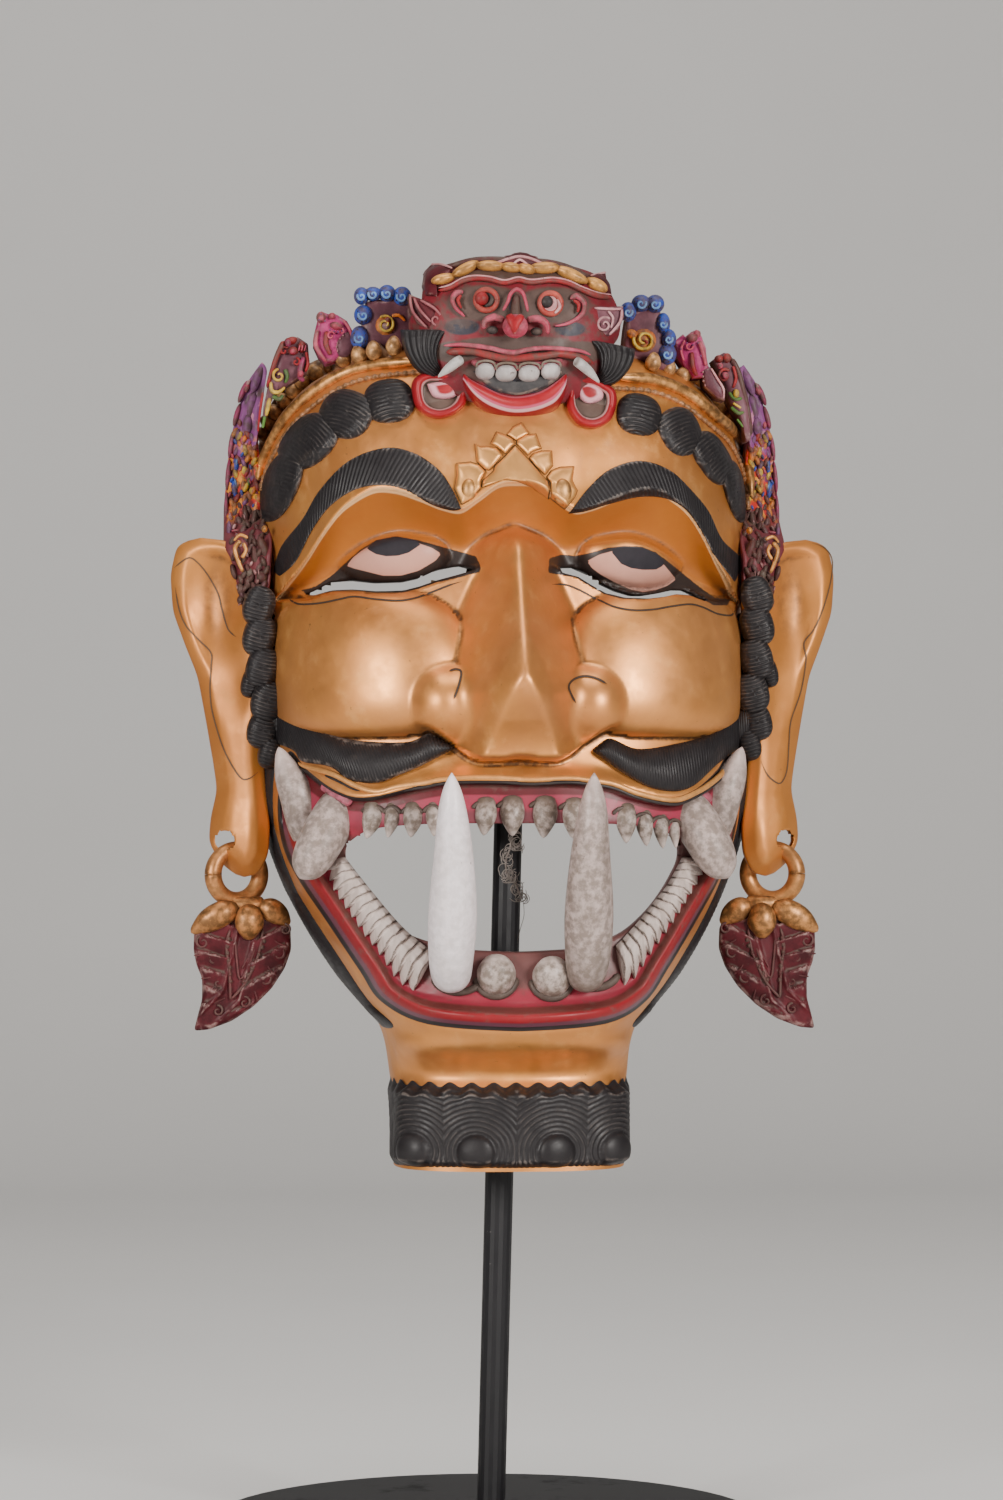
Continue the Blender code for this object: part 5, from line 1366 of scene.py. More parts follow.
    # Upper lip, gum, teeth and tongue of the mouth
    lip = [(443, 346.5, 1.4), (458, 345.5, 2.0), (472, 346.5, 2.4), (489, 348.8, 2.6), (502, 352, 2.6),
           (513, 353.4, 2.8), (524, 351, 2.6), (540, 349, 2.4), (560, 349.5, 2.2), (580, 352, 1.8),
           (590, 356, 1.2)]
    make("crown_head_lip_line", *rib(lip, 3.0, 140), colour("pink"))
    band = [(446, 353, 4.0), (460, 352, 4.2), (473, 352.5, 3.6), (486, 355.5, 4.2), (500, 358.5, 4.2),
            (514, 359.5, 4.2), (530, 358, 4.2), (545, 356.5, 4.0), (560, 354.5, 3.8), (578, 358, 4.2),
            (592, 364, 4.0)]
    make("crown_head_upper_lip", *rib(band, 2.6, 150), colour("red"))
    gum = [(471, 362, 3.5), (486, 365.5, 4.5), (516, 367, 4.8), (546, 365, 4.5), (562, 360, 3.5)]
    make("crown_head_gum", *rib(gum, 1.2, 90), colour("pink"))
    teeth, collars = [], []
    for a, b, w in ((485, 370.5, 9.4), (505.8, 372.6, 10.4), (528.8, 372.6, 10.4), (550.5, 370.5, 9.4)):
        teeth.append(pad([(a - 0.9 * w, b - 5), (a, b - 8), (a + 0.9 * w, b - 5), (a + w, b + 3),
                          (a + 0.5 * w, b + 8.4),
                          (a - 0.5 * w, b + 8.4), (a - w, b + 3)], on(1.6), 2.8, 3.0, 12, 80, power=2.6)[0])
        collars.append(rib([(a - w, b - 2, 0.9), (a - w + 1.5, b - 7, 1.2), (a, b - 8.8, 1.4),
                            (a + w - 1.5, b - 7, 1.2), (a + w, b - 2, 0.9)], 3.6, 50))
    make("crown_head_teeth", *join(teeth), colour("cream"))
    make("crown_head_tooth_collars", *join(collars), colour("grey"))
    hollow, _ = pad([(473, 371), (484, 377), (500, 380.5), (517, 381.5), (535, 380), (552, 376), (562, 371),
                     (556, 381), (541, 388.5), (518, 395), (497, 390), (484, 382)], on(0.8), 0.4, 6, 10,
                     120)
    make("crown_head_mouth", *hollow, paint("mouth_grey_paint", (0.03, 0.03, 0.032), (0.065, 0.062, 0.062)))
    upper = [(463, 372), (470, 379), (484, 386), (502, 394), (518, 396), (537, 392), (552, 384), (567, 372)]
    lower = [(462, 382), (469, 397), (481, 410.5), (498, 418.5), (518, 421.5), (539, 418.5), (556, 410.5),
             (564, 397), (567, 382)]
    rows, cols = 26, 140
    u, w = side_by_side([upper, lower], kala_depth)
    points, faces = strip(u, w, lambda x_, h_: np.maximum(kala_depth(x_, h_), 73.0), 5.2, 0.0, 1.0, (1, 0),
                          cols, rows, 3.0)
    p = Paint("lower_lip_paint")
    across = p.math("ADD", p.field("across"), p.times(p.math("SUBTRACT", p.noise(120, 4), 0.5), 0.05))
    red = p.mix((0.24, 0.006, 0.012), (0.36, 0.015, 0.022), p.noise(200, 4))
    tone = p.mix(red, (0.46, 0.07, 0.13), p.between(across, 0.58, 0.50))
    tone = p.mix(tone, (0.58, 0.32, 0.34), p.between(across, 0.46, 0.41))
    tone = p.mix(tone, (0.20, 0.007, 0.012), p.between(across, 0.34, 0.29))
    tone = p.mix(tone, (0.42, 0.08, 0.11), p.between(across, 0.86, 0.93))
    tone = soiling_and_shade(p, tone, low=1.0, high=4.0)
    make("crown_head_lower_lip", points, faces, p.finish(tone, p.uneven(200, 3, 0.34, 0.5), 0.0,
                                                         [(p.noise(300, 4), 0.1, 0.0003)]),
         fields={"across": np.repeat(np.linspace(0, 1, rows), cols)})

    # Curled lip corners: red rim, pale line, grey hollow and pink heart
    p = Paint("lip_curl_paint")
    across = p.math("ADD", p.field("across"), p.times(p.math("SUBTRACT", p.noise(130, 4), 0.5), 0.05))
    red = p.mix((0.20, 0.005, 0.009), (0.32, 0.012, 0.018), p.noise(200, 4))
    dusty = p.mix((0.06, 0.035, 0.028), (0.15, 0.105, 0.085), p.noise(250, 5))
    tone = p.mix(red, (0.56, 0.30, 0.29), p.between(across, 0.71, 0.67))
    tone = p.mix(tone, dusty, p.between(across, 0.66, 0.61))
    tone = soiling_and_shade(p, tone, low=1.0, high=4.0)
    curl_paint = p.finish(tone, p.uneven(200, 3, 0.36, 0.52), 0.0, [(p.noise(300, 4), 0.1, 0.0003)])

    def curl_seat(x_, h_):
        return np.maximum(76.5, face_depth(x_, h_) + 1.2)

    for word, outline, heart in (
            ("left", [(412, 390), (414, 379), (424, 373), (440, 373), (456, 374), (468, 379), (469, 392),
                      (464, 406), (453, 415), (438, 418.5), (424, 414.5), (415, 405)],
                      [(427, 384), (443, 381.5), (461, 382.5), (461, 391), (454, 397), (443, 399),
                       (433, 396)]),
            ("right", [(567, 388), (570, 378), (590, 376), (607, 384), (615.5, 391), (616.5, 404),
                       (612, 418), (603, 426), (591, 428.5), (578, 424), (569, 412), (566, 400)],
                       [(574, 384), (589, 382.5), (602, 390), (602, 399), (590, 403.5), (580, 398)])):
        body, share = pad(outline, curl_seat, 0.0, 12, 22, 110)
        points = body[0]
        points[:, 1] += 3.0 * np.clip(np.sin(math.pi * np.clip((share - 0.62) / 0.38, 0, 1)), 0,
                                      1) ** 0.6 - 0.8 * (share < 0.6)
        make(f"{word}_lip_curl", points, body[1], curl_paint, fields={"across": share})
        inner, share = pad(heart, curl_seat, 2.2, 3, 14, 90)
        make(f"{word}_lip_curl_heart", *inner, edged(f"{word}_curl_heart_paint", "red", 0.42, 0.66,
                                                     (0.62, 0.30, 0.34)), fields={"across": share})
    tusks = [rib([(462, 360, 4.6), (455, 364, 5.2), (446, 371, 4.2), (437, 378.5, 0.9)], 5.0, 40, 18),
             rib([(573, 361.5, 4.6), (580, 366, 5.4), (589, 374, 4.4), (598, 384, 0.9)], 5.0, 40, 18)]
    make("crown_head_tusks", *join(tusks), paint("small_tusk_paint", (0.40, 0.38, 0.36),
                                                 (0.56, 0.54, 0.52)))

    # Whiskers of the head
    for word, outer, inner in (("left", [(400.5, 329), (402.5, 343), (408, 358), (418, 371), (430, 377.5),
                                         (438, 379)],
                                [(450, 330), (445, 335), (440, 343), (437, 352), (437.5, 362), (441, 370)]),
                               ("right", [(636, 348), (634, 361), (627, 373), (616, 383), (604, 386.5),
                                          (597, 384)],
                                [(585, 339), (592, 346), (597, 353), (599, 362), (599, 370), (597, 377)])):
        u, w = (on_face(traced, lambda x_, h_: 76 + 0 * x_)[:, [0, 2]] for traced in (inner, outer))
        points, faces = strip(u, w, lambda x_, h_: 71.5 + 8.0 * dome(x_ / 48, (h_ - 262) / 36, 2.0), 3.4,
                              0.75, 1.0, (1, 0), 84, 66, 3.0,
                              phase=lambda x_, h_, run, v_: 7.0 * v_ + 0 * x_)
        if word == "right":
            faces = faces[:, ::-1]
        make(f"{word}_whiskers", points, faces, black_hair(f"{word}_whisker_hair"))

    # Leaf ears of the head
    left_ear, _ = pad([(409, 294), (421, 299), (441, 306), (446.5, 317), (441, 330), (430, 331), (417, 323),
                       (411, 309)],
                      lambda x_, h_: 76 + 0 * x_, 2.4, 12, 14, 120, True)
    right_ear, _ = pad([(593, 305), (607, 307), (623, 306), (624, 317), (619, 329), (608, 337), (596, 333),
                        (590, 319)],
                       lambda x_, h_: 76 + 0 * x_, 2.4, 12, 14, 120, True)
    make("crown_head_left_ear", *left_ear, colour("maroon"))
    make("crown_head_right_ear", *right_ear, colour("mauve"))
    make("crown_head_ear_scrolls", *join([
        whirl(436, 320, 78, 7.5, 1.4, 1.3, -1, 1.2), bar([(410, 296, 78, 1.3), (413, 312, 79, 1.5),
                                                          (427, 328, 78.5, 1.3)]),
        bar([(414, 298, 78.5, 1.2), (420, 310, 79.5, 1.4), (431, 322, 79, 1.2)]),
        bar([(420, 300, 78.5, 1.2), (434, 308, 79.5, 1.4), (441, 316, 79, 1.2)]),
        bar([(441, 306, 78, 1.2), (446, 317, 78, 1.4), (441, 329, 78, 1.2)])]),
        paint("worn_maroon_paint", (0.17, 0.035, 0.045), (0.30, 0.10, 0.11)))
    make("crown_head_right_ear_scroll", *join([
        whirl(604.5, 325, 78, 8.5, 1.5, 1.5, 1, 0.6),
        bar([(594, 308, 78.5, 1.2), (608, 309, 79, 1.4), (622, 309, 78.5, 1.2)]),
        bar([(622, 309, 78.5, 1.3), (620, 322, 79, 1.5), (609, 335, 78.5, 1.2)]),
        bar([(608, 311, 79, 1.2), (613, 318, 79, 1.3), (611, 328, 79, 1.0)])]),
        paint("worn_mauve_paint", (0.34, 0.13, 0.15), (0.50, 0.27, 0.28)))


# Gold band, rope, beads, leaves and side panels of the crown
LEFT_BAND = [(420, 361.5, 4.0), (399, 363, 5.6), (376, 365.5, 6.2), (354, 370.5, 6.4), (336, 378, 6.6),
             (317, 390, 6.6), (300, 404, 6.6), (286, 419, 6.4), (272, 442, 6.2), (261, 466, 5.6),
             (258, 480, 4.0)]
RIGHT_BAND = [(612, 377.5, 4.0), (632, 378.5, 5.6), (650, 380, 6.2), (669, 385.5, 6.6), (688, 395, 6.8),
              (704, 407.5, 6.8), (718, 419, 6.6), (730, 430, 6.4), (741, 449, 6.0), (748, 472, 5.4),
              (751, 499, 4.0)]
LEFT_BEADS = [(262, 435), (267.5, 423), (274, 412.5), (283, 401.5), (292, 391.5), (302, 382.5),
              (314.5, 373.7), (329, 366), (342, 359), (358, 355.5), (373, 351.5), (393, 347)]
RIGHT_BEADS = [(652, 363), (667, 369), (682, 375.5), (695, 382), (705, 390), (714, 398), (722, 406),
               (730, 415.5), (737, 426), (742.5, 437.5), (750, 446)]


def crown_depth(x, h):
    """The plain shell's depth where the diadem lies, held near its sides and top."""
    return base_depth(np.clip(x, -78.6, 78.6), np.minimum(h, 256))


def laid(stops, surface, lift, count=48, sides=10):
    """A bar laid over a surface through (px, v, radius in pixels) stops."""
    places = on_face([(a, b) for a, b, _ in stops], surface, lift)
    return tube([(*q, PIXEL * s[2]) for q, s in zip(places, stops)], count, sides)


def band():
    """The diadem's gold band, the rope under it, its backing and the beads on its edge."""
    bright = gold("band_gilding", (0.92, 0.48, 0.18), 0.5)
    for word, stops in (("left", LEFT_BAND), ("right", RIGHT_BAND)):
        make(f"{word}_band", *laid(stops, crown_depth, 2.4, 120, 16), bright)
    ropes = []
    for stops, side in ((LEFT_BAND, -1), (RIGHT_BAND, 1)):
        traced = along(on_face([(a + side * -3.0, b + 11.0) for a, b, _ in stops], crown_depth, 1.2), 230)
        run = np.concatenate([[0], np.cumsum(np.linalg.norm(np.diff(traced, axis=0), axis=1))])
        twist = 0.78 + 0.18 * np.sin(run * math.tau / 2.6)
        ropes.append(tube(np.column_stack([traced, twist]), 230, 8, round_ends=False))
    make("twisted_rope", *join(ropes), gold("rope_gilding", (0.36, 0.16, 0.08), 0.8, 0.15))
    backing = []
    for stops, side in ((LEFT_BAND, -1), (RIGHT_BAND, 1)):
        edges = []
        for reach in (2, 30):
            pixels = []
            for a, b, _ in stops[1:]:
                gap = math.hypot(a - 510, b - 490)
                far = reach * min(1, max(0.15, (480 - b) / 90))
                pixels.append((a + (a - 510) / gap * far, b + (b - 490) / gap * far))
            edges.append(on_face(pixels, crown_depth)[:, [0, 2]])
        outer, inner = edges[1], edges[0]
        if side > 0:
            outer, inner = inner, outer
        backing.append(strip(outer, inner, lambda x, h: crown_depth(x, h) - 2.4, 1.6, 0.5, 2.6, (1, 0.4),
                             220, 14, 1.5))
    make("crown_backing", *join(backing), paint("dusty_gold_paint", (0.16, 0.07, 0.03), (0.36, 0.19, 0.09)))
    beads = []
    for spots, side in ((LEFT_BEADS, -1), (RIGHT_BEADS, 1)):
        for a, b in spots:
            x, d, h = on_face([(a, b)], crown_depth, 1.2)[0]
            ox, oh = x - side * 30, h - 215
            size = math.hypot(ox, oh)
            ox, oh = ox / size, oh / size
            tip = tube([(x - 2.6 * ox, d + 2.4, h - 2.6 * oh, 1.9),
                        (x - 0.4 * ox, d + 3.2, h - 0.4 * oh, 2.6),
                        (x + 1.7 * ox - 0.4 * side, d + 2.6, h + 1.7 * oh, 1.9),
                        (x + 3.2 * ox - 0.9 * side, d + 1.6, h + 3.2 * oh, 0.5)], 18, 10)
            beads.append(tip)
    make("beads", *join(beads), gold("bead_gilding", (0.84, 0.46, 0.20), 0.7, 0.3))


def flat_at(d):
    """A flat surface at depth d."""
    return lambda x, h: d + 0 * h


def crown():
    """The painted leaves of the diadem, gathered by colour."""
    groups = {}

    def add(tone, *bodies):
        groups.setdefault(tone, []).extend(bodies)

    def dots(places, depth, wide, tall, out):
        return [knob(a, b, depth, wide, tall, out, segments=8) for a, b in places]

    # Blue-knobbed leaves beside the head
    add("mauve", pad([(366, 302), (384, 299), (409, 300), (411, 336), (399, 348), (372, 352), (362, 345),
                      (363, 320)], flat_at(50), 2.0, 12)[0],
        pad([(628, 312), (642, 306), (658, 308), (662, 322), (668, 345), (672, 366), (655, 372), (636, 362),
             (624, 350)], flat_at(49), 2.0, 12)[0])
    left_knobs = [(361.5, 296, 7, 8), (373, 294, 8, 6.5), (387, 293.5, 8, 7.8), (402, 296.5, 8.6, 9),
                  (363.3, 315, 8.4, 9), (359.5, 338, 8.2, 11)]
    right_knobs = [(628, 312, 7.5, 9), (641, 303.5, 8.6, 8), (655, 304, 8.4, 8.4), (663, 324, 6.5, 10),
                   (668.5, 339, 7, 9), (667, 354, 8.5, 10)]
    for knobs, depth, stretch, hand, start, first, last in (
            (left_knobs, 50.5, 1.14, 1, 2.6, -2.6, 2.6), (right_knobs, 49.5, 1.16, -1, 0.6, 0.6, 5.6)):
        for a, b, w, t in knobs:
            add("blue", knob(a, b, depth, stretch * w, 1.14 * t, 4.2))
            add("sky", whirl(a, b + 0.5, depth + 3.6, 0.62 * w, 1.4, 1.2, hand, start, 0.5))
            ring = [(a + 0.78 * w * math.cos(s), b + 0.78 * t * math.sin(s))
                    for s in np.linspace(first, last, 8)]
            add("coal", *dots(ring, depth + 2.9, 0.8, 0.8, 0.35))
    add("orange", knob(385.4, 325.5, 51.6, 10.6, 10.2, 1.4),
        bar([(392, 316, 53.5, 1.8), (399, 315.5, 53, 1.8), (405, 321, 52, 1.2)]),
        knob(644, 340.5, 50.6, 13, 12.4, 1.4), knob(632, 334, 51.5, 6, 4.5, 1.6, 30))
    add("yellow", whirl(385.4, 325, 53.0, 9.6, 1.6, 1.6, -1, 2.2, 1.8),
        whirl(644, 340, 52.0, 11.4, 1.9, 1.8, 1, 2.4, 2.0))
    add("rose", knob(385.6, 326.5, 52.6, 5.2, 5.6, 1.8))
    add("red", knob(387.5, 320.5, 53.4, 3.2, 3.6, 1.6), knob(646, 342, 53, 2.2, 2.2, 1.8))

    # Pink leaves
    add("magenta", pad([(314, 345), (315, 331), (318, 319), (321, 311), (328, 314), (336, 314), (347, 321),
                        (352, 330), (355, 345), (349, 356), (336, 361), (326, 364), (319, 356)],
                        flat_at(44), 2.2, 12, sharp=True)[0],
        pad([(674, 342), (683, 334), (685, 337.5), (691, 332), (697, 329.5), (702, 337), (706, 348),
             (707, 360), (709, 368), (702, 378), (693, 378), (684, 368), (677, 357)], flat_at(43), 2.2, 12,
             sharp=True)[0])
    add("pink", knob(321, 317.5, 46, 5, 6, 2.4), knob(336.5, 326, 46.5, 7, 4.2, 2.2, 12),
        knob(332, 316, 46, 4, 3.4, 2.2),
        bar([(343, 320, 46.5, 1.4), (350, 330, 46.5, 1.8), (352, 342, 46.2, 1.6), (347, 354, 46, 1.2)]),
        whirl(331, 336, 47, 4.6, 1.2, 1.1, 1, 0.4, 1.2), whirl(341, 331.5, 47, 3.6, 1.1, 1.0, -1, 2.0, 1.2),
        whirl(689, 346, 46, 4.6, 1.2, 1.1, -1, 0.4, 1.2),
        bar([(685, 340, 45.6, 1.2), (681, 350, 45.4, 1.6), (684, 361, 45.2, 1.2)]),
        bar([(317.5, 330, 46.5, 2.4), (315.5, 344, 46.5, 2.6), (321, 355, 46.5, 2.2), (327, 362, 46, 1.6)]),
        knob(692, 338, 45.5, 6, 4.6, 2.4), knob(697, 334, 45, 4, 4, 2.2),
        bar([(699, 341, 46, 2.6), (703, 352, 46, 2.4), (706, 366, 45.5, 1.6)]))
    left_dots = [(319, 320), (325, 321), (330, 330), (334, 331.5), (338, 332), (342, 331), (321, 314)]
    right_dots = [(687, 343), (693, 345), (698, 343), (681, 349), (701, 356)]
    add("purple", *dots(left_dots, 49, 1.0, 1.0, 0.5), *dots(right_dots, 48.2, 1.0, 1.0, 0.6))
    add("red", bar([(327, 331, 46.6, 2.4), (326, 344, 46.8, 3.0), (331, 355, 46.4, 2.2)]),
        bar([(692, 352, 46, 2.2), (693, 366, 46, 2.6), (697, 376, 45.4, 1.8)]))
    add("mauve", pad([(337, 340), (344, 333), (351, 333), (354, 345), (349, 356), (340, 357), (336, 349)],
                     flat_at(45.6), 1.6, 8)[0],
        pad([(702, 369), (710.5, 367), (717, 379), (724.5, 390), (724.5, 401), (716, 398), (704, 387)],
            flat_at(43.5), 1.8, 10, sharp=True)[0])
    left_dots = [(337.5, 343), (336.5, 347), (337.5, 351), (340, 338.5), (343, 335.5)]
    right_dots = [(703, 372), (703, 376.5), (703.5, 381), (705, 385.5)]
    add("rose", *dots(left_dots, 47.2, 0.9, 0.9, 0.5), *dots(right_dots, 45.4, 1.0, 1.2, 0.5),
        bar([(711, 368, 45.3, 0.9), (717, 378, 45.4, 1.2), (723.5, 389, 45.2, 1.2),
             (723.5, 399, 44.6, 0.9)], flat=0.7))

    # Red leaves with their green and yellow scrolls
    add("mauve", pad([(276, 362), (280, 347), (286, 338), (298, 337), (308, 344), (309, 356), (307, 373),
                      (298, 379), (285, 387), (274, 395), (267, 412), (263, 422), (264, 404), (269, 381)],
                      flat_at(37.5), 2.0, 12, sharp=True)[0],
        pad([(713, 360), (718, 356), (724, 352.5), (731, 356), (738.5, 367.5), (742, 381), (745, 393),
             (749.5, 411), (751, 440), (746, 442), (739, 420), (729, 402), (724, 385)], flat_at(36.5), 2.0,
             12, sharp=True)[0])
    add("red", knob(291, 341, 39, 7, 4.2, 2.4, -20), knob(293, 351, 40, 5.6, 4.4, 2.4),
        knob(302, 347, 39, 4.6, 6, 2.2),
        whirl(284, 351, 40, 4.8, 1.5, 1.1, 1, 0.6, 1.2), whirl(296, 362, 40.5, 4.4, 1.4, 1.1, -1, 1.6, 1.2),
        bar([(306, 352, 40, 1.6), (308, 363, 40, 1.8), (305, 372, 40, 1.4)]),
        bar([(284, 341, 40, 3.0), (277, 356, 40, 2.8), (271, 374, 39, 2.4), (267, 388, 38, 1.6)]),
        bar([(263, 392, 37.5, 1.5), (260, 412, 37, 1.3), (258, 432, 36, 1.0)]),
        knob(719, 359, 38, 5, 4, 2.2), knob(727, 358, 38.5, 4.6, 5, 2.2),
        whirl(724.5, 376, 39.4, 7.4, 2.0, 1.2, 1, 0.8, 1.6),
        bar([(733, 366, 39, 1.6), (736, 378, 39, 1.8), (733, 388, 38.8, 1.4)]))
    add("magenta", bar([(304, 357, 40.6, 2.0), (301, 366, 41, 2.6), (300, 376, 41, 3.2),
                        (304, 381, 40, 2.2)]), knob(288, 343, 41.4, 3, 3.6, 1.6))
    add("pink", knob(300.5, 374, 42.2, 3.4, 3.4, 1.6), knob(293, 351.5, 42.8, 3.4, 2.6, 1.2),
        knob(725.5, 375.5, 41.4, 3.6, 3.4, 1.4),
        *[bar([(300 + k, 345, 41, 0.6), (298.5 + k, 351, 42, 0.6)], 8, 6) for k in (0, 3, 6)],
        knob(720, 366, 39.6, 3, 3, 1.6))
    add("maroon", bar([(731, 358, 38.4, 3.0), (738, 371, 38, 3.0), (743, 390, 37.5, 3.0),
                       (748, 411, 37, 2.8), (751, 436, 36.5, 2.4)]))
    add("yellow", whirl(279, 376, 39.8, 7, 1.6, 1.2, 1, 1.6, 1.8),
        bar([(271, 382, 40, 1.6), (272, 391, 40.3, 2.2), (279, 392, 40.3, 2.0), (285, 387, 40, 1.2)]),
        bar([(270, 398, 39.2, 2.0), (267.5, 409, 38.8, 2.4), (266, 416, 38.2, 1.2)]),
        knob(736, 393.5, 39, 3.4, 4.4, 1.6), bar([(733, 403, 38.6, 1.2), (741, 408, 38.4, 1.2)]))
    add("green", bar([(285, 369, 39.6, 2.4), (287, 377, 39.8, 2.2), (285, 383, 39.4, 1.4)]),
        bar([(272, 396, 40, 2.2), (279, 399, 40, 2.4), (283, 395, 39.6, 1.6)]),
        bar([(265, 416, 38, 1.8), (262.5, 428, 37.6, 1.6)]),
        bar([(729, 392, 38.6, 1.6), (735, 399, 38.8, 2.0), (742, 398, 38.4, 1.4)]),
        bar([(731, 407, 38.4, 1.6), (738, 413, 38.4, 2.2), (744, 412, 38, 1.4)]),
        bar([(737, 419, 38, 1.2), (743, 427, 37.8, 1.4)]))

    for tone, bodies in groups.items():
        make(f"crown_{tone}", *join(bodies), colour(tone))


# Side panels, told for the viewer's left: tone, pixels, half width and half height in pixels, tilt
PANEL = [(262, 362), (254, 372.5), (245, 387), (240, 404), (234.7, 421), (230.7, 441), (228, 461),
         (226, 485), (224.5, 505), (224, 530), (224.5, 546), (231, 560), (236, 580), (240, 598), (247, 612),
         (256, 606), (268, 592), (271, 570), (271, 520), (262, 480), (258, 434), (261, 400), (267, 372)]
PANEL_LUMPS = [
    ("purple", 257, 380, 5, 14, -20), ("purple", 252, 404, 5, 13, -12), ("purple", 248, 424, 5, 11, -8),
    ("magenta", 243, 392, 3.2, 12, -22),
    ("magenta", 237, 415, 3, 12, -16), ("magenta", 231, 445, 2.6, 14, -8),
    ("magenta", 228, 475, 2.6, 16, -5), ("magenta", 226, 510, 2.4, 18, -2),
    ("pink", 247, 388, 3, 5, -20), ("rose", 248.5, 383, 2, 3.4, -30), ("pink", 240, 423, 2.6, 4, 0),
    ("pink", 243, 442, 3.2, 6, 0), ("purple", 238, 436, 3, 7, 0),
    ("blue", 236, 464, 3.2, 8, -4), ("sky", 236.6, 462, 1.4, 5, -4), ("blue", 234.5, 488, 3.2, 9, 6),
    ("sky", 236, 484, 1.4, 6, 14), ("orange", 250, 447, 4, 5, 0),
    ("yellow", 245.5, 452, 3, 4, 0), ("orange", 254, 454, 3.4, 7, 0), ("yellow", 245, 471, 3.6, 6, 0),
    ("red", 253.5, 474, 2.8, 9, -4), ("orange", 243.5, 485, 3.4, 8, 4),
    ("orange", 245, 498, 3, 6, -14), ("yellow", 252.5, 492, 3.4, 4.6, 20), ("orange", 259, 499, 4, 4.6, 0),
    ("red", 257, 486, 2.4, 6, 10), ("green", 249, 482, 1.8, 4, 0),
    ("orange", 234.5, 510, 2.8, 9, -8), ("red", 236.5, 520, 2.2, 7, -10), ("rose", 230, 516, 1.6, 3, 0),
    ("purple", 229, 530, 2.4, 9, 0), ("maroon", 246, 516, 3.4, 11, 10),
    ("rose", 244.5, 517, 1.4, 4, 12), ("maroon", 254, 520, 4, 10, -8), ("rose", 253.5, 520, 1.2, 4.6, -14),
    ("maroon", 264, 514, 4.6, 8, 0), ("maroon", 263, 529, 5, 6, 0),
    ("pink", 236, 531, 4.6, 1.6, 0), ("maroon", 263, 548, 4.6, 12, 20), ("maroon", 255, 556, 4, 10, 12),
    ("maroon", 250.5, 541, 3, 7, -10), ("rose", 252, 540, 1.2, 3.6, -20),
    ("maroon", 262, 577, 5.4, 6.4, 0), ("rose", 258.5, 573, 0.9, 4.6, 0), ("maroon", 260, 589, 5.8, 5, -10),
    ("rose", 256.5, 587, 3, 0.9, 25), ("grey", 250, 573, 4, 5, 0),
    ("maroon", 233.5, 572, 3, 8, 16), ("maroon", 241, 590, 4, 7, 10), ("maroon", 247.5, 582, 3, 8, -8),
    ("maroon", 241, 600, 4, 5, -10), ("maroon", 248, 606, 3, 7, 0),
    ("maroon", 255, 600, 3.6, 5, 0), ("rose", 246, 598, 0.9, 4, 0), ("rose", 237.5, 588, 0.9, 3.6, 20),
    ("rose", 255.5, 598, 0.9, 3, 20), ("rose", 240.5, 604, 3, 0.8, 30)]
SCALE_COUNT = 96


def panel_scales():
    """Small carved scales scattered over the lower two thirds of a panel: bright above, maroon below."""
    traced = np.array(PANEL, float)
    outer, inner = traced[:15], traced[15:][::-1]
    bright = ("orange", "red", "yellow", "purple", "orange", "blue", "pink")
    dark = ("maroon", "maroon", "rose", "maroon", "mauve")
    found = []
    for k in range(SCALE_COUNT):
        v = 432 + 174 * (k + 0.5) / SCALE_COUNT
        near, far = np.interp(v, outer[:, 1], outer[:, 0]), np.interp(v, inner[:, 1], inner[:, 0])
        px = near + (far - near) * (0.10 + 0.80 * (k * 0.618034 % 1))
        tone = bright[k % 7] if v < 506 else dark[k % 5]
        small = 0.6 if tone in ("rose", "blue", "pink") else 1.0
        found.append((tone, px, v, 2.9 * small, 5.6 * small, 26 if k % 2 else -26))
    return found


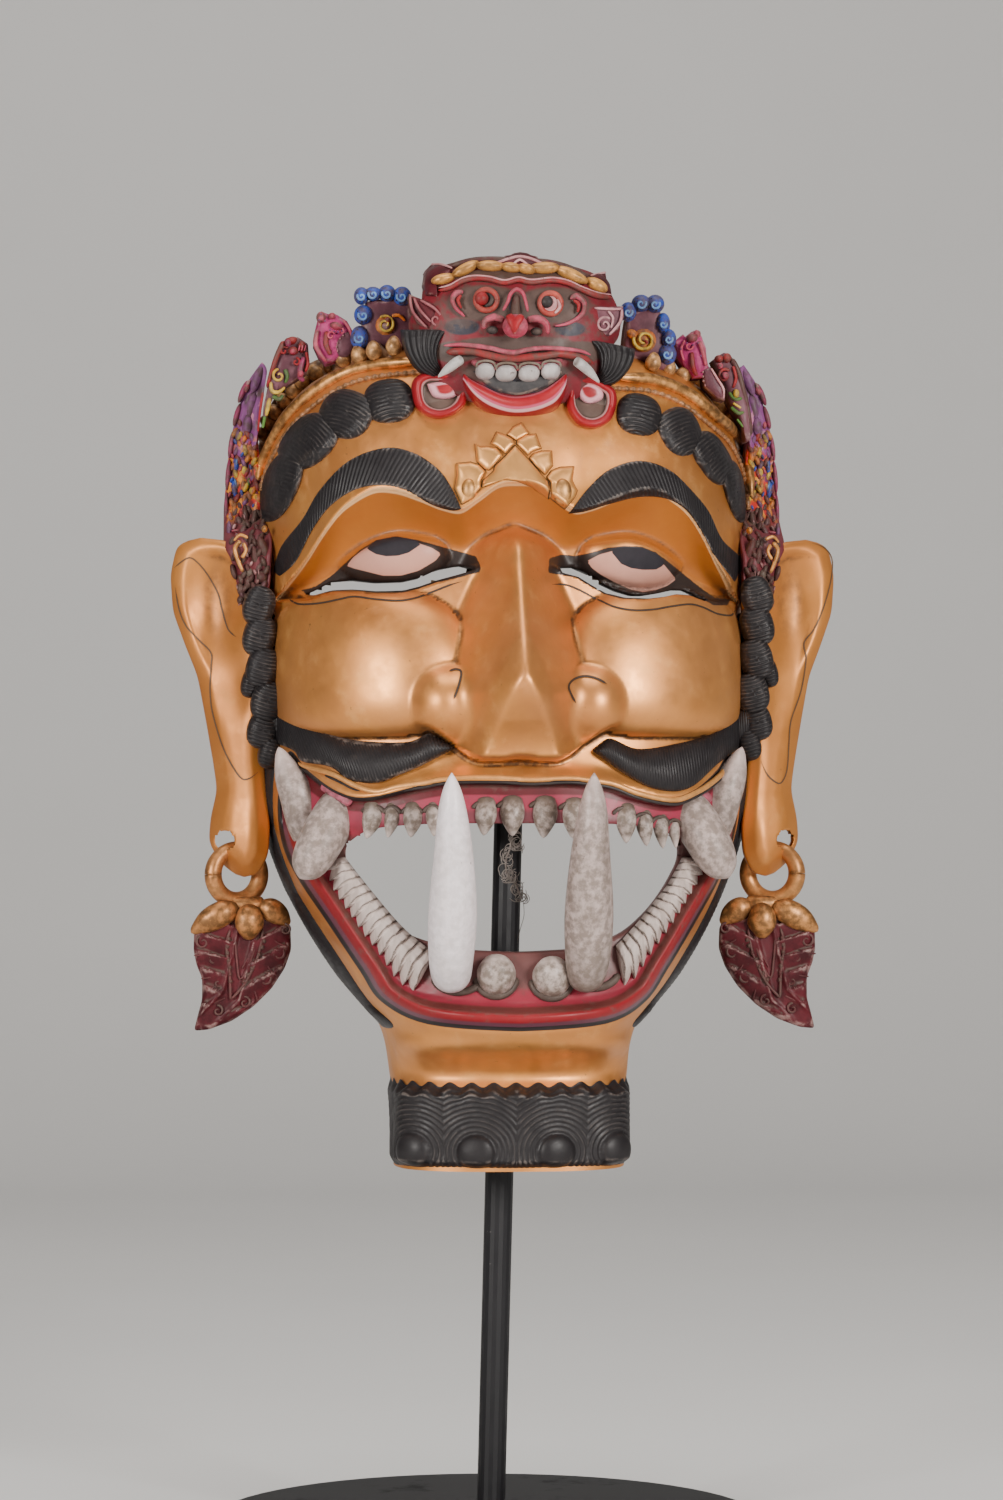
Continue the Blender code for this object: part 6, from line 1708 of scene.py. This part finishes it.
def side_panels():
    """The carved panels beside the forehead."""
    def front(x, h):
        return 25.5 - 0.5 * (np.abs(x) - 74) + 17.0 * step(212, 196, h)

    def ribs(x, h):
        return 0.7 * np.sin(h * 0.62 + 0.25 * np.abs(x)) + 0.5 * np.sin(x * 1.3)

    body, _ = pad(PANEL, front, 1.4, 18, 24, 200, relief=ribs)
    p = Paint("side_panel_paint")
    height = p.node("ShaderNodeSeparateXYZ", Vector=p.place).outputs["Z"]
    wavy = p.math("ADD", height, p.times(p.math("SUBTRACT", p.noise(90, 4), 0.5), 0.02))
    violet = p.mix((0.12, 0.03, 0.12), (0.24, 0.07, 0.20), p.noise(150, 5, 0.7))
    spots = p.between(p.noise(210, 3, 0.5), 0.58, 0.64)
    violet = p.mix(violet, (0.58, 0.22, 0.30), p.times(spots, 0.7))
    dark = p.mix((0.08, 0.012, 0.018), (0.15, 0.03, 0.035), p.noise(170, 4))
    tone = p.mix(dark, violet, p.between(wavy, 0.344, 0.354))
    bright = p.mix((0.42, 0.03, 0.02), (0.62, 0.22, 0.02), p.between(p.noise(320, 3, 0.5), 0.45, 0.55))
    middle = p.times(p.between(wavy, 0.332, 0.340), p.between(wavy, 0.362, 0.354))
    tone = p.mix(tone, bright, p.times(middle, p.between(p.noise(240, 3, 0.5), 0.44, 0.50)))
    tone = soiling_and_shade(p, tone)
    material = p.finish(tone, p.uneven(200, 3, 0.4, 0.6), 0.0, [(p.noise(300, 4), 0.25, 0.0005)])
    make("side_panels", *both(body), material)
    groups = {}
    for tone, a, b, w, t, tilt in PANEL_LUMPS + panel_scales():
        x, d, h = on_face([(a, b)], front, 1.0)[0]
        out = 1.8 if tone == "maroon" else 1.5 if t > 3 and w > 1.8 else 2.0
        small = 12 if w > 2 else 10
        groups.setdefault(tone, []).append(ball((x, d, h), (0.33 * w, out, 0.33 * t), -tilt, small))
    for tone, bodies in groups.items():
        make(f"side_panel_{tone}", *both(join(bodies)), colour(tone))
    jewels = [bar([(241, 541, 42, 3.0), (235, 548, 41, 2.2), (238, 560, 41, 2.4), (243, 572, 41, 1.6)]),
              bar([(243, 543, 43, 2.2), (246, 550, 43, 1.8), (242, 558, 43, 2.2)]),
              bar([(248, 538, 42, 1.6), (240, 535, 41.5, 1.8), (234, 541, 40.5, 1.2)]),
              knob(264.5, 529, 42, 3.2, 3.6, 2.0)]
    make("side_panel_gold", *both(join(jewels)), gold("panel_gilding", (0.6, 0.32, 0.12), 0.3, 0.6))


# Small teeth, gums and the scaled jewel
UPPER_PEGS = [(373, 366.5, 806, 838.5, 10), (392, 387.5, 807, 837.5, 7.6), (412, 410, 807, 837, 9.4),
              (432, 433, 806, 836, 7.4), (484, 482, 802, 835, 10.5), (510, 510.5, 801, 835.5, 11.8),
              (542.5, 541.5, 801, 837.5, 12), (572, 571, 803, 838, 12), (624, 625, 808, 843, 10),
              (643, 645.8, 814, 846, 8.2), (660, 663, 817, 848.5, 7.4), (674, 677, 820, 848.5, 5.6)]
LEFT_ROW = ([(345, 856.6), (357.4, 873), (372.7, 892), (391.8, 915), (407, 931), (422.5, 944), (435, 954)],
            [(328.5, 861.4), (334.4, 890), (347.8, 911), (363, 932), (378.4, 949), (391.8, 967),
             (401.4, 978), (416, 990)])
RIGHT_ROW = ([(683, 856.6), (667.8, 884.4), (654.4, 901.6), (641, 918.8), (625.7, 936), (616, 946)],
             [(699.3, 858.5), (701.5, 875), (694.5, 890), (681, 911), (667.8, 928.4), (652.5, 947.5),
              (635.2, 972.4), (622, 984)])


def tooth_row(inner, outer, count, side):
    """A row of side teeth that overlap like plates, with pointed crowns along its outer edge."""
    cols, rows = 310, 20
    a = along(on_face(inner, lambda x, h: base_depth(x, h) - 3.0), cols)
    b = along(on_face(outer, lambda x, h: base_depth(x, h) - 3.5), cols)
    run = count * np.linspace(0, 1, cols)[None, :] ** 0.92
    v = np.linspace(0, 1, rows)[:, None]
    plate = run + 0.5 * (1 - np.abs(2 * v - 1))
    tread = plate - np.floor(plate)
    edge_tread = run - np.floor(run)
    crown = 0.22 * edge_tread * step(1.0, 0.85, edge_tread) * (1 - v) ** 2
    x = b[:, 0] + (a[:, 0] - b[:, 0]) * (v - crown)
    h = b[:, 2] + (a[:, 2] - b[:, 2]) * (v - crown)
    ends = np.clip(np.minimum(run, count - run) * 1.5, 0, 1) ** 0.5
    round_over = np.clip(1.25 - 1.25 * np.abs(2 * v - 1) ** 1.4, 0, 1) * ends
    held = np.clip(3 * round_over, 0, 1)
    d = b[:, 1] + (a[:, 1] - b[:, 1]) * v + 4.4 * round_over + 1.5 * (tread - 0.5) * held - 1.6 * (1 - held)
    root = 1.1 * np.exp(-tread * 9) + 0.6 * step(0.8, 1.0, v) + 0.7 * step(0.14, 0.0, v)
    faces = grid(rows, cols)
    return np.stack([x, d, h], -1).reshape(-1, 3), faces if side > 0 else faces[:, ::-1], root.ravel()


def small_teeth():
    """Upper teeth, side rows, the two lower incisors and dark collars round their roots: painted gum lines
    above the upper teeth, painted shadow under the lower ones.
    """
    bone = tooth_paint("small_tooth_paint", (0.58, 0.48, 0.44), (0.42, 0.34, 0.30), 0.9)
    bodies, fields = [], []
    for a, tip, top, low, half in UPPER_PEGS:
        x0, h0 = spot(a, top, 76)
        x1, h1 = spot(tip, low, 78)
        d = float(base_depth(np.array(x0), np.array(110.0)))
        r = PIXEL * half
        stops = [(x0, d - 4.5, h0 + 1.0, 0.9 * r), (x0, d - 2.4, 0.72 * h0 + 0.28 * h1, 1.05 * r),
                 (0.55 * x0 + 0.45 * x1, d - 2.0, 0.4 * h0 + 0.6 * h1, 0.86 * r),
                 (x1, d - 2.6, h1, 0.16 * r)]
        bodies.append(tube(stops, 30, 14, 0.9))
        fields.append(np.concatenate([np.repeat(np.linspace(1.1, -0.5, 30), 14), [1, 0]]))
    make("upper_teeth", *join(bodies), bone, fields={"root": np.concatenate(fields)})
    bodies, fields = [], []
    for inner, outer, count, side in ((*LEFT_ROW, 14, -1), (*RIGHT_ROW, 13, 1)):
        points, faces, root = tooth_row(inner, outer, count, side)
        bodies.append((points, faces))
        fields.append(root)
    row_paint = tooth_paint("side_tooth_paint", (0.60, 0.50, 0.46), (0.42, 0.34, 0.30), 0.9)
    make("side_teeth", *join(bodies), row_paint, fields={"root": np.concatenate(fields)})
    bodies, fields = [], []
    for a, b in ((496, 972), (551.5, 974)):
        x, h = spot(a, b, 86)
        d = float(face_depth(np.array(x), np.array(h)))
        stops = [(x, d - 4, h - 2.4, 4.6), (x, d + 1, h - 1.8, 6.0), (x, d + 2.4, h + 0.4, 6.2),
                 (x, d + 2.0, h + 2.8, 5.0), (x, d + 1.0, h + 4.8, 2.6)]
        bodies.append(tube(stops, 44, 28, 0.98))
        fields.append(np.concatenate([np.repeat(np.linspace(1.1, -0.2, 44), 28), [1, 0]]))
    make("front_teeth", *join(bodies), bone, fields={"root": np.concatenate(fields)})
    collars = []
    # Dark arcs under the lower teeth: painted shadow in the gaps beneath them
    for a, b, w, t in ((496, 976, 20, 20), (551.5, 978, 20, 20), (458, 976, 24, 16), (592, 972, 26, 16)):
        turns = np.linspace(math.pi * 1.02, math.pi * 1.98, 14)
        spots = [(a + w * math.cos(s), b - t * math.sin(s)) for s in turns]
        places = on_face(spots, face_depth, 0.6)
        collars.append(tube([(*q, 1.3) for q in places], 40, 8, 0.8))
    for a, _, top, _, half in UPPER_PEGS:
        spots = [(a + (half + 1.2) * math.cos(s), top + 9 - 9 * math.sin(s))
                 for s in np.linspace(0.08 * math.pi, 0.92 * math.pi, 12)]
        collars.append(tube([(*q, 0.75) for q in on_face(spots, face_depth, 0.3)], 24, 6, 0.8))
    make("tooth_collars", *join(collars), paint("collar_paint", (0.035, 0.028, 0.025), (0.12, 0.09, 0.075)))


SCALES = [[(454, 489), (456.3, 475), (455.8, 463), (470.6, 461.4), (479, 464), (486, 471), (481, 481),
           (481, 488), (470.6, 500), (461.4, 505)], [(577.8, 490.5), (572.7, 480), (574.7, 466),
                                                     (560.4, 466.5), (551.2, 470), (546.1, 477),
                                                     (550.2, 482), (550.2, 499), (564.5, 510),
                                                     (575.7, 497)], [(474.2, 443.6), (480, 446),
                                                         (488, 445.6), (497, 448), (503.5, 455), (494, 466),
                                                         (489, 470.6), (484.9, 470), (476.2, 462)],
                                                         [(552.2, 450.2), (542, 450.2), (533, 453),
                                                          (528.8, 458), (535, 466), (545.1, 475.2),
                                                          (553.3, 466)], [(496.1, 431.3), (505.3, 434.4),
                                                              (513.5, 439.5), (515, 444), (505.3, 454.3),
                                                              (497, 447.7), (490, 443.6)],
                                                              [(536.4, 433.4), (525.7, 434.4),
                                                                  (516.5, 440.5), (516, 444),
                                                                  (527.8, 455.8), (533, 451.7),
                                                                  (542, 448.7)], [(521.6, 422.1),
                                                                      (513, 426.2), (506.3, 434.4),
                                                                      (516, 441), (529.8, 433.4)],
                                                                      [(515, 444.6), (505.3, 455),
                                                                          (494, 466), (493, 471),
                                                                          (482, 480.5), (481, 488),
                                                                          (493.1, 481.5), (505.3, 479.8),
                                                                          (517.6, 481.5), (531.8, 487.4),
                                                                          (549.2, 499.7), (549.2, 482.3),
                                                                          (542, 474.2), (528.8, 459)]]


def jewel():
    """The scaled ornament between the brows."""
    material = edged("jewel_gilding", "", 0.93, 0.985, gilded=True)
    bodies, shares = [], []
    for number, outline in enumerate(SCALES):
        def seat(x, h):
            return face_depth(x, h) + 0.2
        body, share = pad(outline, seat, 2.1 - 0.12 * number, 2.5, 12, 80, True, power=4.0)
        bodies.append(body)
        shares.append(share)
    for a, b, w, t in ((469, 490, 8.5, 12), (562, 492, 10, 14)):
        x, d, h = on_face([(a, b)], face_depth, 0.9)[0]
        bodies.append(ball((x, d, h), (0.3 * w, 2.2, 0.3 * t), 0, 26))
        shares.append(np.zeros(len(bodies[-1][0])))
    make("brow_jewel", *join(bodies), material, fields={"across": np.concatenate(shares)})


# Earrings

LEAF = [(719.8, 917), (719.1, 939.3), (725.4, 957.5), (738, 977.1), (756.3, 995.4), (777.3, 1009.4),
        (799.8, 1017.8), (814.8, 1019), (811, 1003.8), (806.8, 988.4), (806.8, 967.3), (812.4, 953.3),
        (815.2, 939.3), (814.5, 914), (776, 902), (748, 902)]
LEAF_SHIFT = (0.0, -3.0)


def leaf_at(pixels, d=33.0):
    """The (x, h) of the leaf's pixels, moved to hang from the hoop."""
    points = to_mask(pixels, d)
    return points + LEAF_SHIFT


def earring(word):
    """The ring through the lobe, the gold calyx and the carved leaf below it."""
    turn = mirrored if word == "left" else (lambda body: body)
    node = f"{word}_earring"
    yaw = math.radians(RING_YAW)
    turns = np.linspace(0, math.tau, 97)
    ring = tube([(RING_AT[0] + RING_RADIUS * math.cos(s) * math.cos(yaw),
                  RING_AT[1] + RING_RADIUS * math.cos(s) * math.sin(yaw),
                  RING_AT[2] + RING_RADIUS * math.sin(s), RING_STOCK
                  * (1.0 + 0.12 * math.cos(s) ** 2 - 0.06 * math.sin(s))) for s in turns], 120, 22,
                  round_ends=False)
    gilding = gold(f"{word}_ring_gilding", (0.66, 0.32, 0.15), 0.4, 0.8)
    make(f"{word}_ring", *turn(ring), gilding, node)

    def lobe(stops):
        traced = [(*leaf_at([(a, b)], d)[0], d, r) for a, b, d, r in stops]
        return tube([(x, d, h, PIXEL * r) for x, h, d, r in traced], 36, 16, 0.75)

    calyx = [lobe([(771, 899, 34, 7), (786, 902, 35.6, 13), (803, 911, 35.2, 12), (818, 922, 34, 3)]),
             lobe([(757, 897, 34, 7), (761, 905, 36.4, 14), (762, 917, 36.4, 14), (762, 929, 35.2, 4)]),
             lobe([(752, 897, 34, 6), (741, 899, 34.5, 12), (730, 906, 33.5, 10.5), (721, 915, 32.4, 3)]),
             lobe([(745, 893, 33, 7), (762, 895, 34, 9), (786, 893, 33, 6)])]
    make(f"{word}_calyx", *turn(join(calyx)), gilding, node)

    traced = leaf_at(LEAF)
    middle = leaf_at([(770, 945)])[0]
    run = np.concatenate([[0], np.cumsum(np.hypot(*np.diff(np.vstack([traced, traced[:1]]), axis=0).T))])
    fine = np.linspace(0, run[-1], 150, endpoint=False)
    closed = np.vstack([traced, traced[:1]])
    traced = np.stack([np.interp(fine, run, closed[:, k]) for k in range(2)], 1)
    for _ in range(2):
        traced = 0.5 * traced + 0.25 * (np.roll(traced, 1, 0) + np.roll(traced, -1, 0))
    if np.sum(traced[:, 0] * np.roll(traced[:, 1], -1) - np.roll(traced[:, 0], -1) * traced[:, 1]) < 0:
        traced = traced[::-1]
    r = np.linspace(0, 1, 26)
    x = middle[0] + r[:, None] * (traced[:, 0] - middle[0])
    h = middle[1] + r[:, None] * (traced[:, 1] - middle[1])
    spine = leaf_at([(762, 915), (770, 950), (779, 985), (808, 1014)])
    off = distance(spine, x, h, False)
    left_of = x < np.interp(h, spine[::-1, 1], spine[::-1, 0])
    steps = np.where(left_of, (h + 0.55 * x) * 0.155, (h - 0.30 * x) * 0.18)
    tread = steps - np.floor(steps)
    relief = 1.5 * tread * np.clip((off - 2.6) / 2, 0, 1) + 0.9 * np.exp(-((off - 2.9) / 0.75) ** 2)
    thick = 1.6 + 2.0 * np.clip(1 - r[:, None] ** 2.4, 0, 1) ** 0.5
    front = 31.5 + thick + relief * np.clip((1 - r[:, None]) * 8, 0, 1)
    behind = 31.2 - 0.8 * np.clip(1 - r[:, None] ** 2, 0, 1) + 0 * x
    rows = np.concatenate([np.stack([x, front, h], -1), np.stack([x, behind, h], -1)[::-1]])
    faces = grid(52, 150, True)[:, ::-1]
    make(f"{word}_leaf", *turn((rows.reshape(-1, 3), [tuple(f) for f in faces])), colour("maroon"), node)

    scrolls, worn = [], []

    def mark(pixels, d, r, count=28):
        places = leaf_at([(a, b) for a, b in pixels])
        return tube([(q[0], d, q[1], PIXEL_AHEAD * r) for q in places], count, 6, 0.7)

    for a, b, size, hand in ((806, 931, 7.5, -1), (796.5, 948, 5.5, 1), (791, 971.5, 6, 1),
                             (791.5, 999, 6, 1), (725, 919, 6, 1), (731.5, 943, 7, 1), (745, 968, 7.5, 1),
                             (765, 991, 6.5, 1)):
        place = leaf_at([(a, b)])[0]
        scrolls.append(coil((place[0], 35.0, place[1]), PIXEL_AHEAD * size, 0.42, 1.2, hand, 0.5, 1.4, 30,
                            6))
    scrolls += [mark([(753.5, 926), (757, 943), (769, 968), (773, 947), (774.5, 925)], 35.6, 1.2),
                mark([(757, 928), (761, 944), (768, 958)], 35.5, 0.8),
                mark([(779, 918), (783, 935), (780, 960), (779, 988)], 35.9, 1.5),
                mark([(747, 918), (752, 945), (765, 972), (779, 988)], 35.9, 1.5),
                mark([(798, 940), (808, 943.5), (815, 944)], 35.2, 0.9),
                mark([(788, 962), (800, 966), (808, 967)], 35.2, 0.9),
                mark([(784, 986), (795, 991), (806, 992.5)], 35.0, 0.9),
                mark([(722, 936), (732, 932), (741, 925)], 35.2, 0.8),
                mark([(733, 965), (741, 957), (746, 944)], 35.2, 0.8),
                mark([(752, 990), (755, 980), (757, 968)], 35.0, 0.8)]
    for a, b in ((746, 930), (748, 936), (751, 943), (754, 950), (758, 957), (762, 963.5), (766, 970),
                 (781, 928), (782, 935), (782, 942), (781, 949), (780, 956), (779.5, 963), (779, 970)):
        place = leaf_at([(a, b)])[0]
        worn.append(ball((place[0], 35.6, place[1]), (0.75, 0.9, 0.9), 0, 10))
    make(f"{word}_leaf_scrolls", *turn(join(scrolls)),
         paint(f"{word}_scroll_paint", (0.05, 0.007, 0.010), (0.12, 0.028, 0.032)), node)
    make(f"{word}_leaf_beads", *turn(join(worn)), colour("maroon"), node)


def mouth_lines():
    """The gilded edge of the upper lip and the black line under it."""
    edge = [(298, 762), (303.8, 766), (332.5, 774), (357.4, 786.5), (376.5, 791.5), (395.7, 787),
            (422.5, 783), (443.5, 779), (468.4, 777.5), (500, 777.5), (530, 779.5), (568.3, 778),
            (589.3, 780), (612.3, 783.5), (637, 793), (663.9, 799), (679.2, 799), (694.5, 792.5),
            (708, 784.5), (721.3, 773), (733, 757), (742, 742)]
    places = on_face([(a, b) for a, b in edge], base_depth, 2.6)
    make("lip_edge", *tube([(*q, 0.95) for q in places], 300, 14, 0.9),
         gold("lip_gilding", (0.84, 0.42, 0.15), 0.45, 0.6))
    p = Paint("lip_black_paint")
    ink = p.finish(p.mix((0.012, 0.01, 0.01), (0.04, 0.03, 0.028), p.noise(400, 4)),
                   p.uneven(200, 3, 0.35, 0.5), 0.0, [(p.noise(500, 4), 0.1, 0.0002)])
    places = on_face([(a, b + 4.2) for a, b in edge], base_depth, 1.9)
    make("lip_black_line", *tube([(*q, 0.62) for q in places], 300, 10, 0.9), ink)
    bright = [tube([(*q, 2.0) for q in on_face(pixels, base_depth, -0.5)], 50, 14,
                   0.6) for pixels in ([(323, 784), (333, 790), (344, 797), (352, 802)],
                                       [(692, 811), (700, 803), (709, 795)])]
    make("corner_gums", *join(bright), paint("bright_gum_paint", (0.46, 0.06, 0.12), (0.60, 0.17, 0.24)))


def dust():
    """Cobweb fluff caught in the mouth behind the teeth: a tangle of fine threads."""
    bodies = []
    for a, b, wide, tall, n in ((517, 842, 8, 9, 26), (508, 857, 4, 8, 16), (510, 875, 10, 9, 34),
                                (519, 889, 5, 8, 16), (522, 898, 3, 5, 8)):
        x, h = spot(a, b, 70)
        for _ in range(n):
            c = RANDOM.normal(0, 0.42, 3) * (PIXEL_AHEAD * wide, 1.6, PIXEL_AHEAD * tall)
            turn, reach = RANDOM.uniform(0, math.tau), RANDOM.uniform(0.8, 2.2)
            lean = RANDOM.uniform(-1, 1)
            stops = [(x + c[0] + reach * math.cos(turn + s), 70 + c[1] + 0.8 * lean * s,
                      h + c[2] + reach * math.sin(turn + s), 0.12) for s in (0, 0.9, 1.8, 2.7)]
            bodies.append(tube(stops, 12, 5))
    places = [spot(a, b, 70) for a, b in ((513, 834), (510, 848), (506, 860), (507, 872), (515, 884),
                                          (523, 900))]
    bodies.append(tube([(x, 70, h, 0.32) for x, h in places], 60, 6))
    places = [spot(a, b, 70) for a, b in ((523, 900), (524, 915), (520, 930), (517, 944))]
    bodies.append(tube([(x, 70, h, 0.10) for x, h in places], 40, 5))
    make("dust", *join(bodies), paint("dust_grey", (0.22, 0.19, 0.17), (0.36, 0.32, 0.29), rough=0.8))


face()
back()
hair()
lines()
ears()
kala()
band()
crown()
side_panels()
small_teeth()
jewel()
mouth_lines()
dust()
for word in ("left", "right"):
    earring(word)
inserted_teeth()
stand()
studio()
